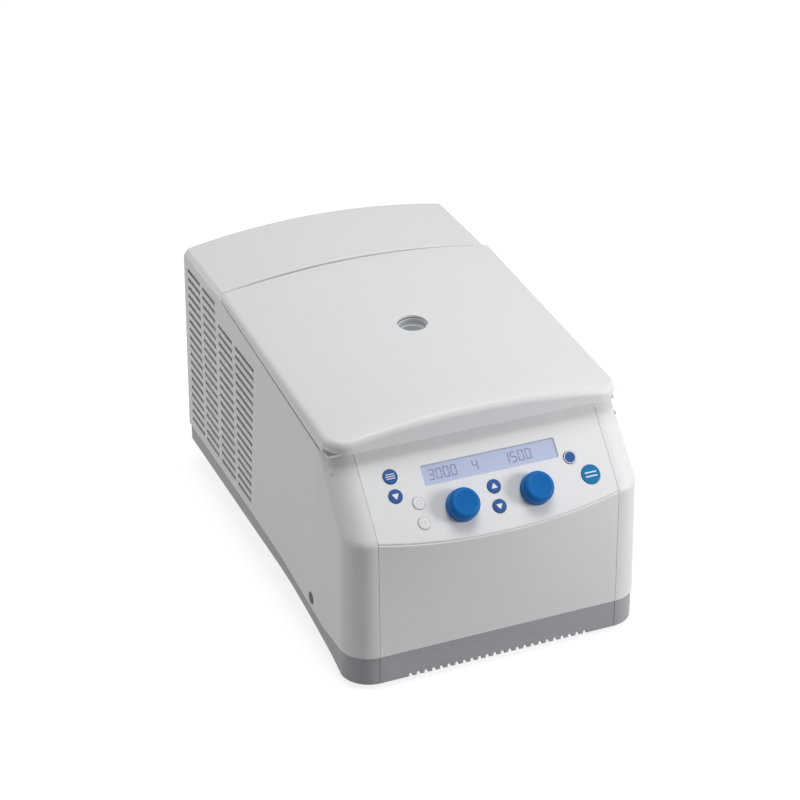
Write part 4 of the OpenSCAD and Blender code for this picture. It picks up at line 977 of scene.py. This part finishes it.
# %% Fan rotor
fan_low, fan_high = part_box("fan_rotor")
fan_spot = Matrix.Translation((fan_low.x, (fan_low.y + fan_high.y) / 2, (fan_low.z + fan_high.z) / 2))
fan_depth = (fan_high.x - fan_low.x) / MM
fan_reach = (fan_high.z - fan_low.z) / 2 / MM
hub = turned([(2.56, 0.2), (17, 0), (19, 1.5), (19, fan_depth - 0.5), (2.56, fan_depth - 0.5), (2.56, 0.2)],
             fan_spot @ Matrix.Rotation(math.pi / 2, 4, "Y"), 64)
BLADES, BLADE_ROOT, BLADE_WALL = 7, 18, 1.3
ROOT_TWIST, TWIST_FALL, SWEEP = 0.75, 0.4, 0.15
blades = []
for k in range(BLADES):
    rows = []
    for reach in span(BLADE_ROOT, fan_reach - 1, 8) + [fan_reach - 1]:
        twist = ROOT_TWIST - TWIST_FALL * (reach - BLADE_ROOT) / (fan_reach - BLADE_ROOT)
        row = []
        for c in span(0, 1, 6) + [1]:
            a = 2 * math.pi * k / BLADES + twist * (c - 0.5) + SWEEP * c * c
            row.append((1 + (fan_depth - 3) * c, reach * math.cos(a), reach * math.sin(a)))
        rows.append(row)
    blade = stitched(rows, closed=False)
    bmesh.ops.recalc_face_normals(blade, faces=blade.faces)
    bmesh.ops.solidify(blade, geom=blade.faces[:], thickness=BLADE_WALL * MM)
    blade.transform(fan_spot)
    blades.append(blade)
as_piece("fan_wheel", joined(hub, *blades), "fan", "black_plastic", "fan_rotor")
print("fan reaches", round(fan_reach), "mm")

# %% [markdown]
# At the back, a rocker switches the mains. Its face is slightly hollow and carries the two plain
# signs for on and off, a bar and a ring. The panel screws have domed heads with a round recess.

# %% Rocker and panel screws
softened("mains_rocker", "power_switch", 0.5)
rocker_low, rocker_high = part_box("power_switch")
rocker_x, rocker_z = (rocker_low.x + rocker_high.x) / 2 / MM, (rocker_low.z + rocker_high.z) / 2 / MM
face_y = rocker_high.y / MM
BACKWARD = Matrix.Rotation(math.pi / 2, 4, "X")
on_sign = plate(bar(-2, 2, 4, 1), -0.12, 0.05)
off_sign = plate(circle(0, -4, 1.9, 32), -0.12, 0.05, [circle(0, -4, 1.2, 32)])
rocker_signs = joined(on_sign, off_sign)
rocker_signs.transform(at(rocker_x, face_y, rocker_z) @ BACKWARD @ Matrix.Rotation(math.pi, 4, "X"))
as_piece("rocker_signs", rocker_signs, "power_rocker", "button_white")
screw_low, screw_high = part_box("panel_screws")
HEAD_R = 3.5
head_profile = [(0, 10), (1.8, 10), (1.8, 0), (HEAD_R, 0), (3.4, -0.4), (2.8, -0.8), (1, -0.88),
                (0.6, -0.4), (0, -0.4)]
heads = []
for x in (screw_low.x / MM + HEAD_R, screw_high.x / MM - HEAD_R):
    for z in (screw_low.z / MM + HEAD_R, screw_high.z / MM - HEAD_R):
        heads.append(turned(head_profile, at(x, screw_high.y / MM - 0.9, z) @ BACKWARD, 24))
as_piece("panel_screw_heads", joined(*heads), "root", "steel_bare", "panel_screws")
print(len(heads), "panel screws")

# %% [markdown]
# The floor is plain and pale. The background turns white through colour alone: the floor and the
# world add a little plain white where the camera, a reflection or a glass ray meets them, so the
# lamps can stay at a level where colours render as they are written. The floor keeps the shadow.

# %% Floor and world
def seen_directly(tree):
    """One where a camera, glossy or transmission ray looks at the surface, zero elsewhere."""
    rays = tree.nodes.new("ShaderNodeLightPath")
    total = rays.outputs["Is Camera Ray"]
    for name in ("Is Glossy Ray", "Is Transmission Ray"):
        add = tree.nodes.new("ShaderNodeMath")
        add.operation, add.use_clamp = "ADD", True
        link(tree, total, add.inputs[0])
        link(tree, rays.outputs[name], add.inputs[1])
        total = add.outputs[0]
    return total


FLOOR_HALF, FLOOR_GLOW, FLOOR_T = 9.0, 0.8, 20
reach = FLOOR_HALF / MM
floor_mesh = plate(rectangle(-reach, -reach, reach, reach), -FLOOR_T, 0)
floor_data = bpy.data.meshes.new("floor")
floor_mesh.to_mesh(floor_data)
floor_mesh.free()
floor = placed("floor", floor_data)
floor_finish = bpy.data.materials.new("floor_paper")
floor_finish.use_nodes = True
tree = floor_finish.node_tree
paper = tree.nodes["Principled BSDF"]
paper.inputs["Base Color"].default_value = (0.42, 0.42, 0.425, 1)
paper.inputs["Roughness"].default_value = 0.9
paper.inputs["Emission Color"].default_value = (1, 1, 1, 1)
glow = tree.nodes.new("ShaderNodeMath")
glow.operation = "MULTIPLY"
glow.inputs[1].default_value = FLOOR_GLOW
link(tree, seen_directly(tree), glow.inputs[0])
link(tree, glow.outputs[0], paper.inputs["Emission Strength"])
floor_data.materials.append(floor_finish)
WORLD_LEVEL = 0.2
world = bpy.data.worlds.new("studio")
world.use_nodes = True
bpy.context.scene.world = world
tree = world.node_tree
sky = tree.nodes["Background"]
sky.inputs["Color"].default_value = (1, 1, 1, 1)
level = tree.nodes.new("ShaderNodeMapRange")
level.inputs["To Min"].default_value = WORLD_LEVEL
level.inputs["To Max"].default_value = 1.0
link(tree, seen_directly(tree), level.inputs["Value"])
link(tree, level.outputs["Result"], sky.inputs["Strength"])
print("floor is", 2 * FLOOR_HALF, "m wide")

# %% [markdown]
# Four soft lamps shape the instrument. A large one overhead lights the lid. One from the
# right brightens the right corner, and a smaller one nearer the front lifts the sloping panel and
# fades across the front. One from behind on the left lights the vented side, and leaves the near
# corner in shade.

# %% Lamps
def lamp(name, place, aim, width, watts):
    data = bpy.data.lights.new(name, "AREA")
    data.shape, data.size, data.energy = "DISK", width, watts
    thing = placed(name, data)
    thing.location = place
    thing.rotation_euler = (Vector(aim) - Vector(place)).to_track_quat("-Z", "Y").to_euler()


lamp("overhead", (0.2, -0.2, 2.6), (0, 0, 0.3), 1.6, 33)
lamp("right_side", (1.9, -1.5, 0.8), (0.1, -0.2, 0.15), 0.9, 13)
lamp("front_right", (1.15, -1.1, 0.6), (0.05, -0.25, 0.15), 0.5, 6)
lamp("rear_left", (-2.2, 0.9, 1.0), (-0.1, 0.1, 0.15), 1.2, 10)
print("four lamps")
